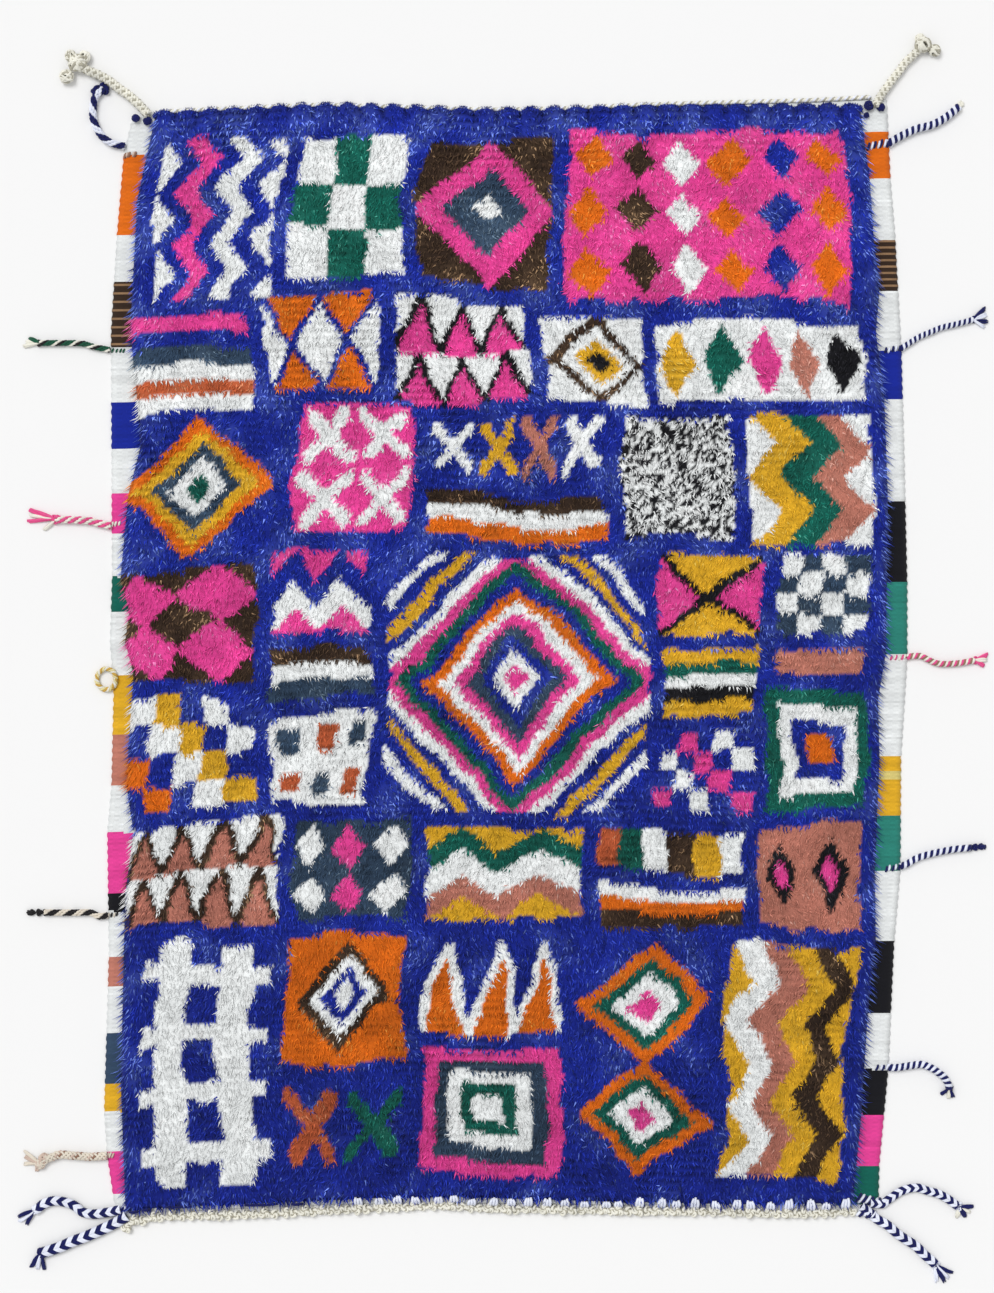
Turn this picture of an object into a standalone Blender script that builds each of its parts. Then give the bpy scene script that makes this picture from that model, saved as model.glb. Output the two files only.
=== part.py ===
"""A hand-knotted wool rug of about 150 by 210 cm, lying flat, with its end cords and sixteen tassels.

Metres, +Z up. The rug lies on the XY plane with its length along Y, and the origin is under its middle.
"""

import math
import random
from collections import namedtuple

import bmesh
import bpy
from mathutils import Matrix, Vector, noise

MM = 0.001
GAP = 0.6 * MM
END_GAP = 1.4 * MM
MERGE = 0.01 * MM

# The flat-woven ground and the knotted pile that stands on it.
GROUND_THICK = 4 * MM
PILE_SINK = 1 * MM
PILE_HEIGHT = 18 * MM
PILE_LUMP = 2.5 * MM
LUMPS_PER_METRE = 9.0
FINE_LUMPS = 3.0
FINE_SHARE = 0.5
FINE_LAYER = 0.4
LEVEL_FACE = 0.9
PILE_CELL = 60 * MM
PILE_HALF_WIDTH = 0.71
PILE_HALF_LENGTH = 1.04

# The rim of the pile: locks along the sides and the bottom, round scallops along the top.
RIM_BAND = 16 * MM
RIM_HEIGHT = 10 * MM
RIM_RISE = 2.5 * MM
SCALLOP_RIM_HEIGHT = 15 * MM
LOCK_SEED = 7
LOCK_PITCH = 30 * MM
LOCK_DEPTH = 7 * MM
LOCK_VALLEY = (0.35, 0.6)
LOCK_TIP = (0.2, 0.5)
LOCK_TIP_PLACE = (0.4, 0.65)
SCALLOP_COUNT = 31
SCALLOP_DEPTH = 9 * MM
SCALLOP_STEPS = 4

# The cords along the two ends.
TOP_CORD_RADIUS = 5 * MM
TOP_CORD_PITCH = 120 * MM
TOP_CORD_ENDS = (-0.665, 0.690)
RECESS_HEIGHT = 10.8 * MM
RECESS_REACH = 60 * MM
BOTTOM_CORD_RADIUS = 10 * MM
BOTTOM_CORD_FLATNESS = 0.7
BOTTOM_CORD_ENDS = (-0.716, 0.664)
KNOT_SEED = 11
KNOT_PITCH = 30 * MM
KNOT_RADII = (0.6, 0.94, 1.0, 0.88)
KNOT_SWELL = (0.86, 1.0)
CORNER_KNOT = (-0.722, -1.081)
CORNER_KNOT_RADIUS = 12 * MM

# The loop of yarn on the left side, its two ends against the ground.
LOOP_RADIUS = 5.5 * MM
LOOP_STEP = 8 * MM
LOOP_ROUTE = ((-751, -27), (-762, -23.5), (-774, -29), (-778.5, -40), (-774, -51), (-762, -56.5), (-751, -53))

# How a rope follows its route and how round it and its balls are.
CURVE_PARTS = 8
ROPE_ROUNDNESS = 1
BALL_SEGMENTS = 8
BALL_RINGS = 5

# How the tassels are made: a two-ply twist, or a flat plait.
TWIST_PITCH = 28 * MM
TWIST_STEPS = 6
PLAIT_PITCH = 19 * MM
PLAIT_STEPS = 4
PLAIT_SWING = 0.14
PLAIT_WAIST = 0.86
PLAIT_FLATNESS = 0.7
KNOT_FLATNESS = 0.62
LOCK_ROOT_RADIUS = 4.5 * MM
LOCK_TIP_RADIUS = 2.5 * MM

# Edges of the ground and of the pile. On a side each row is (height up the rug, across), on an end it is
# (across, height up the rug).
GROUND_LEFT = (
    (-1.062, -0.742), (-1.020, -0.748), (-0.940, -0.760), (-0.860, -0.765), (-0.560, -0.756),
    (-0.330, -0.759), (-0.240, -0.751), (-0.060, -0.747), (0.030, -0.754), (0.150, -0.750),
    (0.620, -0.752), (0.800, -0.741), (0.955, -0.728), (1.028, -0.711),
)
GROUND_RIGHT = (
    (-1.037, 0.705), (-0.960, 0.707), (-0.780, 0.724), (-0.540, 0.735), (-0.400, 0.747),
    (-0.190, 0.748), (0.000, 0.760), (0.140, 0.760), (0.390, 0.754), (0.580, 0.749),
    (0.800, 0.737), (0.910, 0.728), (1.060, 0.721),
)
GROUND_TOP = (
    (-0.711, 1.028), (-0.669, 1.030), (-0.422, 1.041), (-0.336, 1.043), (-0.050, 1.035),
    (0.100, 1.037), (0.290, 1.045), (0.560, 1.052), (0.721, 1.060),
)
GROUND_BOTTOM = (
    (-0.742, -1.062), (-0.710, -1.060), (-0.650, -1.050), (-0.490, -1.046), (-0.300, -1.036),
    (-0.108, -1.029), (-0.050, -1.034), (0.180, -1.038), (0.370, -1.040), (0.560, -1.044),
    (0.650, -1.040), (0.705, -1.037),
)
PILE_LEFT = (
    (-1.050, -0.729), (-0.810, -0.738), (-0.450, -0.730), (-0.330, -0.714), (-0.240, -0.728),
    (-0.030, -0.714), (0.030, -0.730), (0.090, -0.722), (0.150, -0.739), (0.310, -0.724),
    (0.400, -0.701), (0.490, -0.707), (0.620, -0.720), (0.870, -0.707), (0.955, -0.688),
    (1.040, -0.670),
)
PILE_RIGHT = (
    (-1.036, 0.661), (-0.870, 0.677), (-0.670, 0.690), (-0.540, 0.705), (-0.400, 0.703),
    (-0.190, 0.712), (-0.080, 0.709), (0.010, 0.724), (0.300, 0.728), (0.490, 0.721),
    (0.620, 0.705), (0.700, 0.712), (0.800, 0.701), (0.910, 0.693), (1.050, 0.674),
)
PILE_TOP = (
    (-0.670, 1.041), (-0.420, 1.053), (-0.340, 1.055), (-0.050, 1.045), (0.100, 1.048),
    (0.290, 1.053), (0.670, 1.053),
)
PILE_BOTTOM = (
    (-0.730, -1.054), (-0.650, -1.044), (-0.390, -1.032), (-0.220, -1.025), (-0.050, -1.023),
    (0.180, -1.030), (0.560, -1.038), (0.660, -1.034),
)

# Each tassel in millimetres: where its root is, how it is made, its width, the route of its middle line from
# the root to its end knot, the knot's balls as (across, up, radius), and the tips of its loose locks.
Tassel = namedtuple("Tassel", "name root make width route knots tips")
TASSELS = (
    Tassel(
        "tassel_left_1", "corner", "plait", 20,
        ((-690, 1041), (-699, 1051), (-718, 1068), (-737, 1081), (-756, 1096), (-779, 1108), (-796, 1115)),
        ((-817, 1128, 19), (-834, 1106, 13), (-798, 1140, 11)),
        ((-848, 1136), (-838, 1150), (-814, 1156), (-850, 1098)),
    ),
    Tassel(
        "tassel_left_2", "edge", "twist", 15,
        ((-743, 971), (-756, 980), (-775, 999), (-785, 1024), (-785, 1049), (-781, 1066), (-775, 1072)),
        ((-770, 1077, 8.5),),
        (),
    ),
    Tassel(
        "tassel_left_3", "edge", "twist", 12,
        ((-771, 585), (-785, 591), (-806, 597), (-838, 598), (-864, 598), (-880, 598)),
        ((-887, 598, 8),),
        ((-918, 591), (-915, 600), (-908, 607)),
    ),
    Tassel(
        "tassel_left_4", "edge", "twist", 15,
        ((-758, 251), (-771, 255), (-790, 260), (-813, 262), (-845, 263)),
        ((-856, 264, 11),),
        ((-910, 282), (-908, 271), (-911, 259), (-880, 243)),
    ),
    Tassel(
        "tassel_left_5", "edge", "twist", 13,
        ((-762, -488), (-775, -490), (-790, -483), (-821, -483), (-853, -483), (-876, -483)),
        ((-886, -483, 8), (-900, -483, 7)),
        ((-912, -481), (-911, -487)),
    ),
    Tassel(
        "tassel_left_6", "edge", "plait", 18,
        ((-766, -944), (-788, -946), (-821, -944), (-849, -942), (-866, -948)),
        ((-880, -954, 13),),
        ((-918, -935), (-916, -947), (-919, -962), (-893, -975)),
    ),
    Tassel(
        "tassel_left_7", "edge", "plait", 20,
        (
            (-754, -1051), (-768, -1053), (-785, -1055), (-806, -1051), (-821, -1039), (-840, -1032),
            (-861, -1030), (-880, -1036), (-888, -1043),
        ),
        ((-896, -1048, 10),),
        ((-930, -1062), (-927, -1071), (-912, -1078)),
    ),
    Tassel(
        "tassel_left_8", "corner", "plait", 22,
        ((-744, -1075), (-773, -1087), (-798, -1097), (-825, -1107), (-847, -1117), (-872, -1125)),
        ((-884, -1129, 11),),
        ((-904, -1158), (-892, -1160), (-878, -1161)),
    ),
    Tassel(
        "tassel_right_1", "corner", "plait", 19,
        ((711, 1070), (722, 1085), (733, 1100), (745, 1115), (756, 1130), (773, 1146)),
        ((791, 1162, 17), (783, 1176, 10), (814, 1154, 12)),
        ((800, 1186), (822, 1172), (828, 1148), (771, 1184)),
    ),
    Tassel(
        "tassel_right_2", "edge", "twist", 16,
        ((730, 977), (739, 986), (758, 996), (779, 1005), (804, 1011), (823, 1020), (838, 1030), (849, 1039)),
        ((857, 1046, 9),),
        ((868, 1053), (862, 1058)),
    ),
    Tassel(
        "tassel_right_3", "edge", "twist", 12,
        (
            (749, 587), (756, 593), (770, 602), (783, 610), (809, 621), (823, 627), (849, 633), (876, 640),
        ),
        ((884, 643, 8),),
        ((908, 666), (912, 654), (913, 641), (907, 629)),
    ),
    Tassel(
        "tassel_right_4", "edge", "twist", 12,
        ((760, 2), (770, 4), (785, 4), (798, -2), (811, -8), (826, -11), (853, -10), (878, -6)),
        ((887, -4, 9),),
        ((914, 8), (911, -3), (908, -15)),
    ),
    Tassel(
        "tassel_right_5", "edge", "twist", 14,
        ((749, -395), (760, -390), (773, -382), (788, -376), (815, -369), (847, -363), (876, -360)),
        ((884, -359, 8),),
        ((908, -356), (907, -363)),
    ),
    Tassel(
        "tassel_right_6", "edge", "twist", 15,
        (
            (726, -777), (739, -777), (754, -775), (783, -771), (794, -773), (808, -779), (817, -785),
            (830, -796), (837, -808),
        ),
        ((840, -817, 9),),
        ((848, -834), (838, -836), (824, -829)),
    ),
    Tassel(
        "tassel_right_7", "edge", "plait", 18,
        (
            (713, -1036), (720, -1030), (732, -1022), (745, -1013), (762, -1007), (779, -1005), (798, -1011),
            (817, -1016), (836, -1026), (847, -1034),
        ),
        ((856, -1041, 11),),
        ((885, -1041), (880, -1052), (871, -1061), (855, -1063)),
    ),
    Tassel(
        "tassel_right_8", "corner", "plait", 20,
        (
            (686, -1050), (703, -1065), (722, -1076), (739, -1091), (758, -1104), (775, -1115),
            (792, -1132), (804, -1142),
        ),
        ((813, -1151, 10),),
        ((846, -1167), (840, -1177), (832, -1184), (817, -1185)),
    ),
)

# Wool colours, linear, by piece. The tassels that it leaves out are braided from blue and white.
WOOL = {
    "rug_body": (0.02, 0.03, 0.25),
    "top_cord": (0.68, 0.66, 0.60),
    "bottom_knot_cord": (0.66, 0.65, 0.60),
    "side_loop": (0.62, 0.48, 0.20),
    "tassel_left_1": (0.60, 0.60, 0.56),
    "tassel_left_2": (0.12, 0.15, 0.28),
    "tassel_left_3": (0.10, 0.22, 0.16),
    "tassel_left_4": (0.58, 0.16, 0.27),
    "tassel_left_5": (0.18, 0.17, 0.15),
    "tassel_left_6": (0.50, 0.40, 0.32),
    "tassel_right_1": (0.60, 0.60, 0.56),
    "tassel_right_4": (0.55, 0.22, 0.32),
}
BRAID_BLUE = (0.12, 0.15, 0.35)
WOOL_ROUGHNESS = 0.95


def clear_scene():
    for old in list(bpy.data.objects):
        bpy.data.objects.remove(old, do_unlink=True)


def new_collection(name):
    collection = bpy.data.collections.new(name)
    bpy.context.scene.collection.children.link(collection)
    return collection


def wool_material(name):
    material = bpy.data.materials.new(name + "_wool")
    material.use_nodes = True
    shader = material.node_tree.nodes["Principled BSDF"]
    shader.inputs["Base Color"].default_value = (*WOOL.get(name, BRAID_BLUE), 1.0)
    shader.inputs["Roughness"].default_value = WOOL_ROUGHNESS
    shader.inputs["Metallic"].default_value = 0.0
    return material


def object_from_bmesh(bm, name, collection):
    mesh = bpy.data.meshes.new(name)
    bm.to_mesh(mesh)
    bm.free()
    made = bpy.data.objects.new(name, mesh)
    collection.objects.link(made)
    return made


def mesh_of_curve(curve_object):
    """The curve's surface as a closed bmesh; the curve itself is removed."""
    bpy.context.view_layer.update()
    evaluated = curve_object.evaluated_get(bpy.context.evaluated_depsgraph_get())
    mesh = bpy.data.meshes.new_from_object(evaluated)
    bm = bmesh.new()
    bm.from_mesh(mesh)
    bpy.data.meshes.remove(mesh)
    bpy.data.objects.remove(curve_object, do_unlink=True)
    bmesh.ops.remove_doubles(bm, verts=bm.verts, dist=MERGE)
    bmesh.ops.recalc_face_normals(bm, faces=bm.faces)
    return bm


def add_boolean(target, other, operation):
    modifier = target.modifiers.new(operation.lower(), "BOOLEAN")
    modifier.operation = operation
    modifier.solver = "EXACT"
    modifier.use_self = True
    modifier.object = other
    other.hide_render = True
    other.display_type = "WIRE"


def read_edge(rows, place):
    """Straight interpolation in a table of (place, value) rows, level past both of its ends."""
    if place <= rows[0][0]:
        return rows[0][1]
    for (low, start), (high, end) in zip(rows, rows[1:]):
        if place <= high:
            return start + (end - start) * (place - low) / (high - low)
    return rows[-1][1]


def extruded_outline(points, low, high):
    """A flat outline filled and given a thickness from low to high."""
    curve = bpy.data.curves.new("outline", "CURVE")
    curve.dimensions = "2D"
    curve.fill_mode = "BOTH"
    curve.extrude = (high - low) / 2
    spline = curve.splines.new("POLY")
    spline.points.add(len(points) - 1)
    for point, (x, y) in zip(spline.points, points):
        point.co = (x, y, 0.0, 1.0)
    spline.use_cyclic_u = True
    outline = bpy.data.objects.new("outline", curve)
    bpy.context.scene.collection.objects.link(outline)
    bm = mesh_of_curve(outline)
    bmesh.ops.translate(bm, verts=bm.verts, vec=(0.0, 0.0, (low + high) / 2))
    return bm


def ground_outline():
    """The woven ground's outline, anticlockwise from its bottom left corner."""
    bottom = list(GROUND_BOTTOM[:-1])
    right = [(x, y) for y, x in GROUND_RIGHT[:-1]]
    top = list(GROUND_TOP[:0:-1])
    left = [(x, y) for y, x in GROUND_LEFT[:0:-1]]
    return bottom + right + top + left


def lock_row(length, rng):
    """Places along a straight rim of locks as (along, outward) pairs, a tip and a valley for each lock."""
    count = round(length / LOCK_PITCH)
    row = []
    for lock in range(count):
        start = -length / 2 + length * lock / count
        row.append((start, -LOCK_DEPTH * rng.uniform(*LOCK_VALLEY)))
        along = start + LOCK_PITCH * rng.uniform(*LOCK_TIP_PLACE)
        row.append((along, LOCK_DEPTH * rng.uniform(*LOCK_TIP)))
    return row


def scallop_row(length):
    """Places along the scalloped rim as (along, outward) pairs, each scallop an arch of a few steps."""
    pitch = length / SCALLOP_COUNT
    row = []
    for scallop in range(SCALLOP_COUNT):
        for step in range(SCALLOP_STEPS):
            turn = step / SCALLOP_STEPS
            rise = math.sqrt(math.sin(math.pi * turn)) - 1.0
            row.append((-length / 2 + pitch * (scallop + turn), rise * SCALLOP_DEPTH))
    return row


def pile_outline():
    """The pile's rim on a straight rectangle, anticlockwise from its bottom left corner."""
    rng = random.Random(LOCK_SEED)
    width = 2 * PILE_HALF_WIDTH
    length = 2 * PILE_HALF_LENGTH
    bottom = [(along, -PILE_HALF_LENGTH - out) for along, out in lock_row(width, rng)]
    right = [(PILE_HALF_WIDTH + out, along) for along, out in lock_row(length, rng)]
    top = [(-along, PILE_HALF_LENGTH + out) for along, out in scallop_row(width)]
    left = [(-PILE_HALF_WIDTH - out, -along) for along, out in lock_row(length, rng)]
    return bottom + right + top + left


def faces_looking_up(bm):
    return [face for face in bm.faces if face.normal.z > LEVEL_FACE]


def merge_flat_side(bm, faces):
    bmesh.ops.dissolve_faces(bm, faces=faces, use_verts=False)


def cut_top(bm, place, across):
    """Cuts the top surface along one straight line, across X at a given Y or the other way round."""
    faces = faces_looking_up(bm)
    edges = {edge for face in faces for edge in face.edges}
    verts = {vert for face in faces for vert in face.verts}
    spot = (0.0, place, 0.0) if across else (place, 0.0, 0.0)
    normal = (0.0, 1.0, 0.0) if across else (1.0, 0.0, 0.0)
    bmesh.ops.bisect_plane(bm, geom=[*verts, *edges, *faces], dist=MERGE, plane_co=spot, plane_no=normal)


def grid_places(half):
    """Places of the cuts over one direction of the pile: the two rim bands and an even grid between them."""
    inner = half - RIM_BAND
    count = round(2 * inner / PILE_CELL)
    return [-inner + 2 * inner * step / count for step in range(count + 1)]


def lie_of_pile(x, y):
    """Moves a place on the straight rectangle to where the woven rug really has it."""
    along = (y + PILE_HALF_LENGTH) / (2 * PILE_HALF_LENGTH)
    across = (x + PILE_HALF_WIDTH) / (2 * PILE_HALF_WIDTH)
    bottom = read_edge(PILE_BOTTOM, x)
    real_y = bottom + along * (read_edge(PILE_TOP, x) - bottom)
    left = read_edge(PILE_LEFT, real_y)
    return left + across * (read_edge(PILE_RIGHT, real_y) - left), real_y


def pile_height(x, y):
    """Height of the pile's top on the straight rectangle: lumpy inside, falling to the locks at the rim."""
    lump = noise.noise(Vector((x, y, 0.0)) * LUMPS_PER_METRE)
    fine = noise.noise(Vector((x, y, FINE_LAYER)) * LUMPS_PER_METRE * FINE_LUMPS)
    if y > PILE_HALF_LENGTH - RIM_BAND + MM:
        return SCALLOP_RIM_HEIGHT
    if abs(x) > PILE_HALF_WIDTH - RIM_BAND + MM or y < -PILE_HALF_LENGTH + RIM_BAND - MM:
        return RIM_HEIGHT + RIM_RISE * fine
    return PILE_HEIGHT + PILE_LUMP * (lump + FINE_SHARE * fine)


def build_pile(cutters):
    bottom = GROUND_THICK - PILE_SINK
    bm = extruded_outline(pile_outline(), bottom, PILE_HEIGHT)
    merge_flat_side(bm, faces_looking_up(bm))
    merge_flat_side(bm, [face for face in bm.faces if face.normal.z < -LEVEL_FACE])
    bm.normal_update()
    for place in grid_places(PILE_HALF_WIDTH):
        cut_top(bm, place, across=False)
    for place in grid_places(PILE_HALF_LENGTH):
        cut_top(bm, place, across=True)
    for vert in bm.verts:
        x, y, z = vert.co
        if z > PILE_HEIGHT - MM:
            z = pile_height(x, y)
        vert.co = (*lie_of_pile(x, y), z)
    bmesh.ops.triangulate(bm, faces=bm.faces)
    return object_from_bmesh(bm, "pile", cutters)


def build_cord_recess(cutters):
    """The room for the top cord under the scallops, beyond the ground's top edge."""
    outline = list(GROUND_TOP)
    left, right = outline[0][0], outline[-1][0]
    outer = max(y for x, y in outline) + RECESS_REACH
    outline = [(left - RECESS_REACH, outer), (left - RECESS_REACH, outline[0][1])] + outline
    outline += [(right + RECESS_REACH, outline[-1][1]), (right + RECESS_REACH, outer)]
    bm = extruded_outline(outline, -RECESS_HEIGHT, RECESS_HEIGHT)
    return object_from_bmesh(bm, "cord_recess", cutters)


def build_rug_body(parts, cutters):
    bm = extruded_outline(ground_outline(), 0.0, GROUND_THICK)
    body = object_from_bmesh(bm, "rug_body", parts)
    add_boolean(body, build_pile(cutters), "UNION")
    add_boolean(body, build_cord_recess(cutters), "DIFFERENCE")
    return body


def smooth_route(route, step):
    """Points about a step apart on the smooth curve through the route's own points."""
    ends = [route[0] * 2 - route[1], *route, route[-1] * 2 - route[-2]]
    fine = []
    for before, start, end, after in zip(ends, ends[1:], ends[2:], ends[3:]):
        for part in range(CURVE_PARTS):
            t = part / CURVE_PARTS
            fine.append(
                start
                + (end - before) * 0.5 * t
                + (before - start * 2.5 + end * 2 - after * 0.5) * t * t
                + (start * 1.5 - before * 0.5 - end * 1.5 + after * 0.5) * t ** 3
            )
    fine.append(route[-1])
    lengths = [0.0]
    for start, end in zip(fine, fine[1:]):
        lengths.append(lengths[-1] + (end - start).length)
    count = max(2, round(lengths[-1] / step))
    places = []
    for number in range(count + 1):
        wanted = lengths[-1] * number / count
        index = next(i for i, length in enumerate(lengths) if length >= wanted - 1e-9)
        if index == 0:
            places.append(fine[0])
            continue
        share = (wanted - lengths[index - 1]) / (lengths[index] - lengths[index - 1])
        places.append(fine[index - 1].lerp(fine[index], share))
    return places


def ply_profile():
    """The section of a two-ply twist: six points, wide one way and narrow the other."""
    curve = bpy.data.curves.new("ply", "CURVE")
    curve.dimensions = "2D"
    spline = curve.splines.new("POLY")
    places = ((1.0, 0.0), (0.5, 0.58), (-0.5, 0.58), (-1.0, 0.0), (-0.5, -0.58), (0.5, -0.58))
    spline.points.add(len(places) - 1)
    for point, (x, y) in zip(spline.points, places):
        point.co = (x, y, 0.0, 1.0)
    spline.use_cyclic_u = True
    profile = bpy.data.objects.new("ply", curve)
    bpy.context.scene.collection.objects.link(profile)
    return profile


def rope(places, radii, tilts=None):
    """A rope lying on the floor, with a radius and, for a twist, a turn of its section at each place."""
    curve = bpy.data.curves.new("rope", "CURVE")
    curve.dimensions = "3D"
    curve.twist_mode = "Z_UP"
    curve.use_fill_caps = True
    profile = None
    if tilts:
        profile = ply_profile()
        curve.bevel_mode = "OBJECT"
        curve.bevel_object = profile
    else:
        curve.bevel_depth = 1.0
        curve.bevel_resolution = ROPE_ROUNDNESS
    spline = curve.splines.new("POLY")
    spline.points.add(len(places) - 1)
    for number, (point, place) in enumerate(zip(spline.points, places)):
        point.co = (*place, 1.0)
        point.radius = radii[number]
        point.tilt = tilts[number] if tilts else 0.0
    cord = bpy.data.objects.new("rope", curve)
    bpy.context.scene.collection.objects.link(cord)
    bm = mesh_of_curve(cord)
    if profile:
        bpy.data.objects.remove(profile, do_unlink=True)
    bmesh.ops.translate(bm, verts=bm.verts, vec=(0.0, 0.0, -min(vert.co.z for vert in bm.verts)))
    return bm


def flatten(bm, flatness):
    bmesh.ops.scale(bm, vec=(1.0, 1.0, flatness), verts=bm.verts)


def along_end(rows, ends, outward, radius, step):
    """A cord's middle line beside an end of the ground, as far out as its radius asks."""
    between = [x for x, _ in rows if ends[0] + step < x < ends[1] - step]
    out = outward * (radius + END_GAP)
    route = [Vector((x, read_edge(rows, x) + out, radius)) for x in (ends[0], *between, ends[1])]
    return smooth_route(route, step)


def build_top_cord(parts):
    places = along_end(GROUND_TOP, TOP_CORD_ENDS, 1.0, TOP_CORD_RADIUS, TOP_CORD_PITCH / TWIST_STEPS)
    tilts = [2 * math.pi * number / TWIST_STEPS for number in range(len(places))]
    bm = rope(places, [TOP_CORD_RADIUS] * len(places), tilts)
    return object_from_bmesh(bm, "top_cord", parts)


def add_ball(bm, place, radius, flatness):
    """A ball of yarn that touches the floor, wider than it is high."""
    squash = Matrix.Diagonal((radius, radius, radius * flatness, 1.0))
    move = Matrix.Translation((place[0], place[1], radius * flatness))
    bmesh.ops.create_uvsphere(
        bm, u_segments=BALL_SEGMENTS, v_segments=BALL_RINGS, radius=1.0, matrix=move @ squash
    )


def build_bottom_cord(parts, cutters):
    """The row of knotted warp ends: a flat rope that swells at each knot, with a ball at the left corner."""
    rng = random.Random(KNOT_SEED)
    step = KNOT_PITCH / len(KNOT_RADII)
    places = along_end(GROUND_BOTTOM, BOTTOM_CORD_ENDS, -1.0, BOTTOM_CORD_RADIUS, step)
    swell = 1.0
    radii = []
    for number in range(len(places)):
        turn = number % len(KNOT_RADII)
        if turn == 0:
            swell = rng.uniform(*KNOT_SWELL)
        radii.append(BOTTOM_CORD_RADIUS * KNOT_RADII[turn] * swell)
    bm = rope(places, radii)
    flatten(bm, BOTTOM_CORD_FLATNESS)
    cord = object_from_bmesh(bm, "bottom_knot_cord", parts)
    ball = bmesh.new()
    add_ball(ball, CORNER_KNOT, CORNER_KNOT_RADIUS, BOTTOM_CORD_FLATNESS)
    add_boolean(cord, object_from_bmesh(ball, "corner_knot", cutters), "UNION")
    return cord


def seat_root(route, half_width):
    """Slides a route's root so that its cut end stands just clear of the rug's side."""
    side = math.copysign(1.0, route[0].x)
    edge = GROUND_RIGHT if side > 0 else GROUND_LEFT
    forward = (route[1] - route[0]).normalized()
    sideways = Vector((-forward.y, forward.x, 0.0)) * half_width
    corners = (route[0] + sideways, route[0] - sideways)
    route[0].x += side * max(side * (read_edge(edge, corner.y) - corner.x) + GAP for corner in corners)


def build_side_loop(parts):
    route = [Vector((x * MM, y * MM, LOOP_RADIUS)) for x, y in LOOP_ROUTE]
    seat_root(route, LOOP_RADIUS)
    seat_root(route[::-1], LOOP_RADIUS)
    places = smooth_route(route, LOOP_STEP)
    bm = rope(places, [LOOP_RADIUS] * len(places))
    return object_from_bmesh(bm, "side_loop", parts)


def twisted(route, radius):
    places = smooth_route(route, TWIST_PITCH / TWIST_STEPS)
    tilts = [2 * math.pi * number / TWIST_STEPS for number in range(len(places))]
    return rope(places, [radius] * len(places), tilts)


def plaited(route, radius):
    """A flat plait: the strands swing from side to side and show as a row of bulges."""
    places = smooth_route(route, PLAIT_PITCH / PLAIT_STEPS)
    swung = [places[0]]
    radii = [radius]
    for number in range(1, len(places) - 1):
        forward = (places[number + 1] - places[number - 1]).normalized()
        sideways = Vector((-forward.y, forward.x, 0.0))
        swing = math.sin(2 * math.pi * (number - 1) / PLAIT_STEPS)
        swung.append(places[number] + sideways * swing * radius * PLAIT_SWING)
        radii.append(radius * (PLAIT_WAIST + (1.0 - PLAIT_SWING / 2 - PLAIT_WAIST) * abs(swing)))
    swung.append(places[-1])
    radii.append(radius * PLAIT_WAIST)
    bm = rope(swung, radii)
    flatten(bm, PLAIT_FLATNESS)
    return bm


def add_lock(bm, root, tip):
    """A loose lock of yarn with four sides, level on the floor from the knot to its tip."""
    start = Vector((root[0], root[1], 0.0))
    end = Vector((tip[0], tip[1], 0.0))
    lean = (end - start).to_track_quat("Z", "Y").to_matrix().to_4x4()
    middle = (start + end) / 2 + Vector((0.0, 0.0, LOCK_ROOT_RADIUS))
    turn = Matrix.Rotation(math.pi / 4, 4, "Z")
    bmesh.ops.create_cone(
        bm, cap_ends=True, segments=4, radius1=LOCK_ROOT_RADIUS, radius2=LOCK_TIP_RADIUS,
        depth=(end - start).length, matrix=Matrix.Translation(middle) @ lean @ turn,
    )


def build_tassel(row, parts, cutters):
    radius = row.width * MM / 2
    route = [Vector((x * MM, y * MM, radius)) for x, y in (*row.route, row.knots[0][:2])]
    if row.root == "edge":
        seat_root(route, radius)
    bm = twisted(route, radius) if row.make == "twist" else plaited(route, radius)
    tassel = object_from_bmesh(bm, row.name, parts)
    end = bmesh.new()
    for x, y, size in row.knots:
        add_ball(end, (x * MM, y * MM), size * MM, KNOT_FLATNESS)
    for x, y in row.tips:
        near = min(row.knots, key=lambda knot: math.hypot(knot[0] - x, knot[1] - y))
        add_lock(end, (near[0] * MM, near[1] * MM), (x * MM, y * MM))
    add_boolean(tassel, object_from_bmesh(end, row.name + "_end", cutters), "UNION")
    return tassel


def main():
    clear_scene()
    parts = new_collection("berber_rug")
    cutters = new_collection("cutters")
    pieces = [
        build_rug_body(parts, cutters),
        build_top_cord(parts),
        build_bottom_cord(parts, cutters),
        build_side_loop(parts),
    ]
    pieces += [build_tassel(row, parts, cutters) for row in TASSELS]
    for piece in pieces:
        piece.data.materials.clear()
        piece.data.materials.append(wool_material(piece.name))


main()
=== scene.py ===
"""Looks of a knotted wool rug of about 150 by 210 cm: its flat weave, its deep pile and its braided ends.

Metres, +Z up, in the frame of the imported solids. The rug lies on the floor, its scalloped end towards +Y.
"""

import math
from collections import namedtuple

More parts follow.
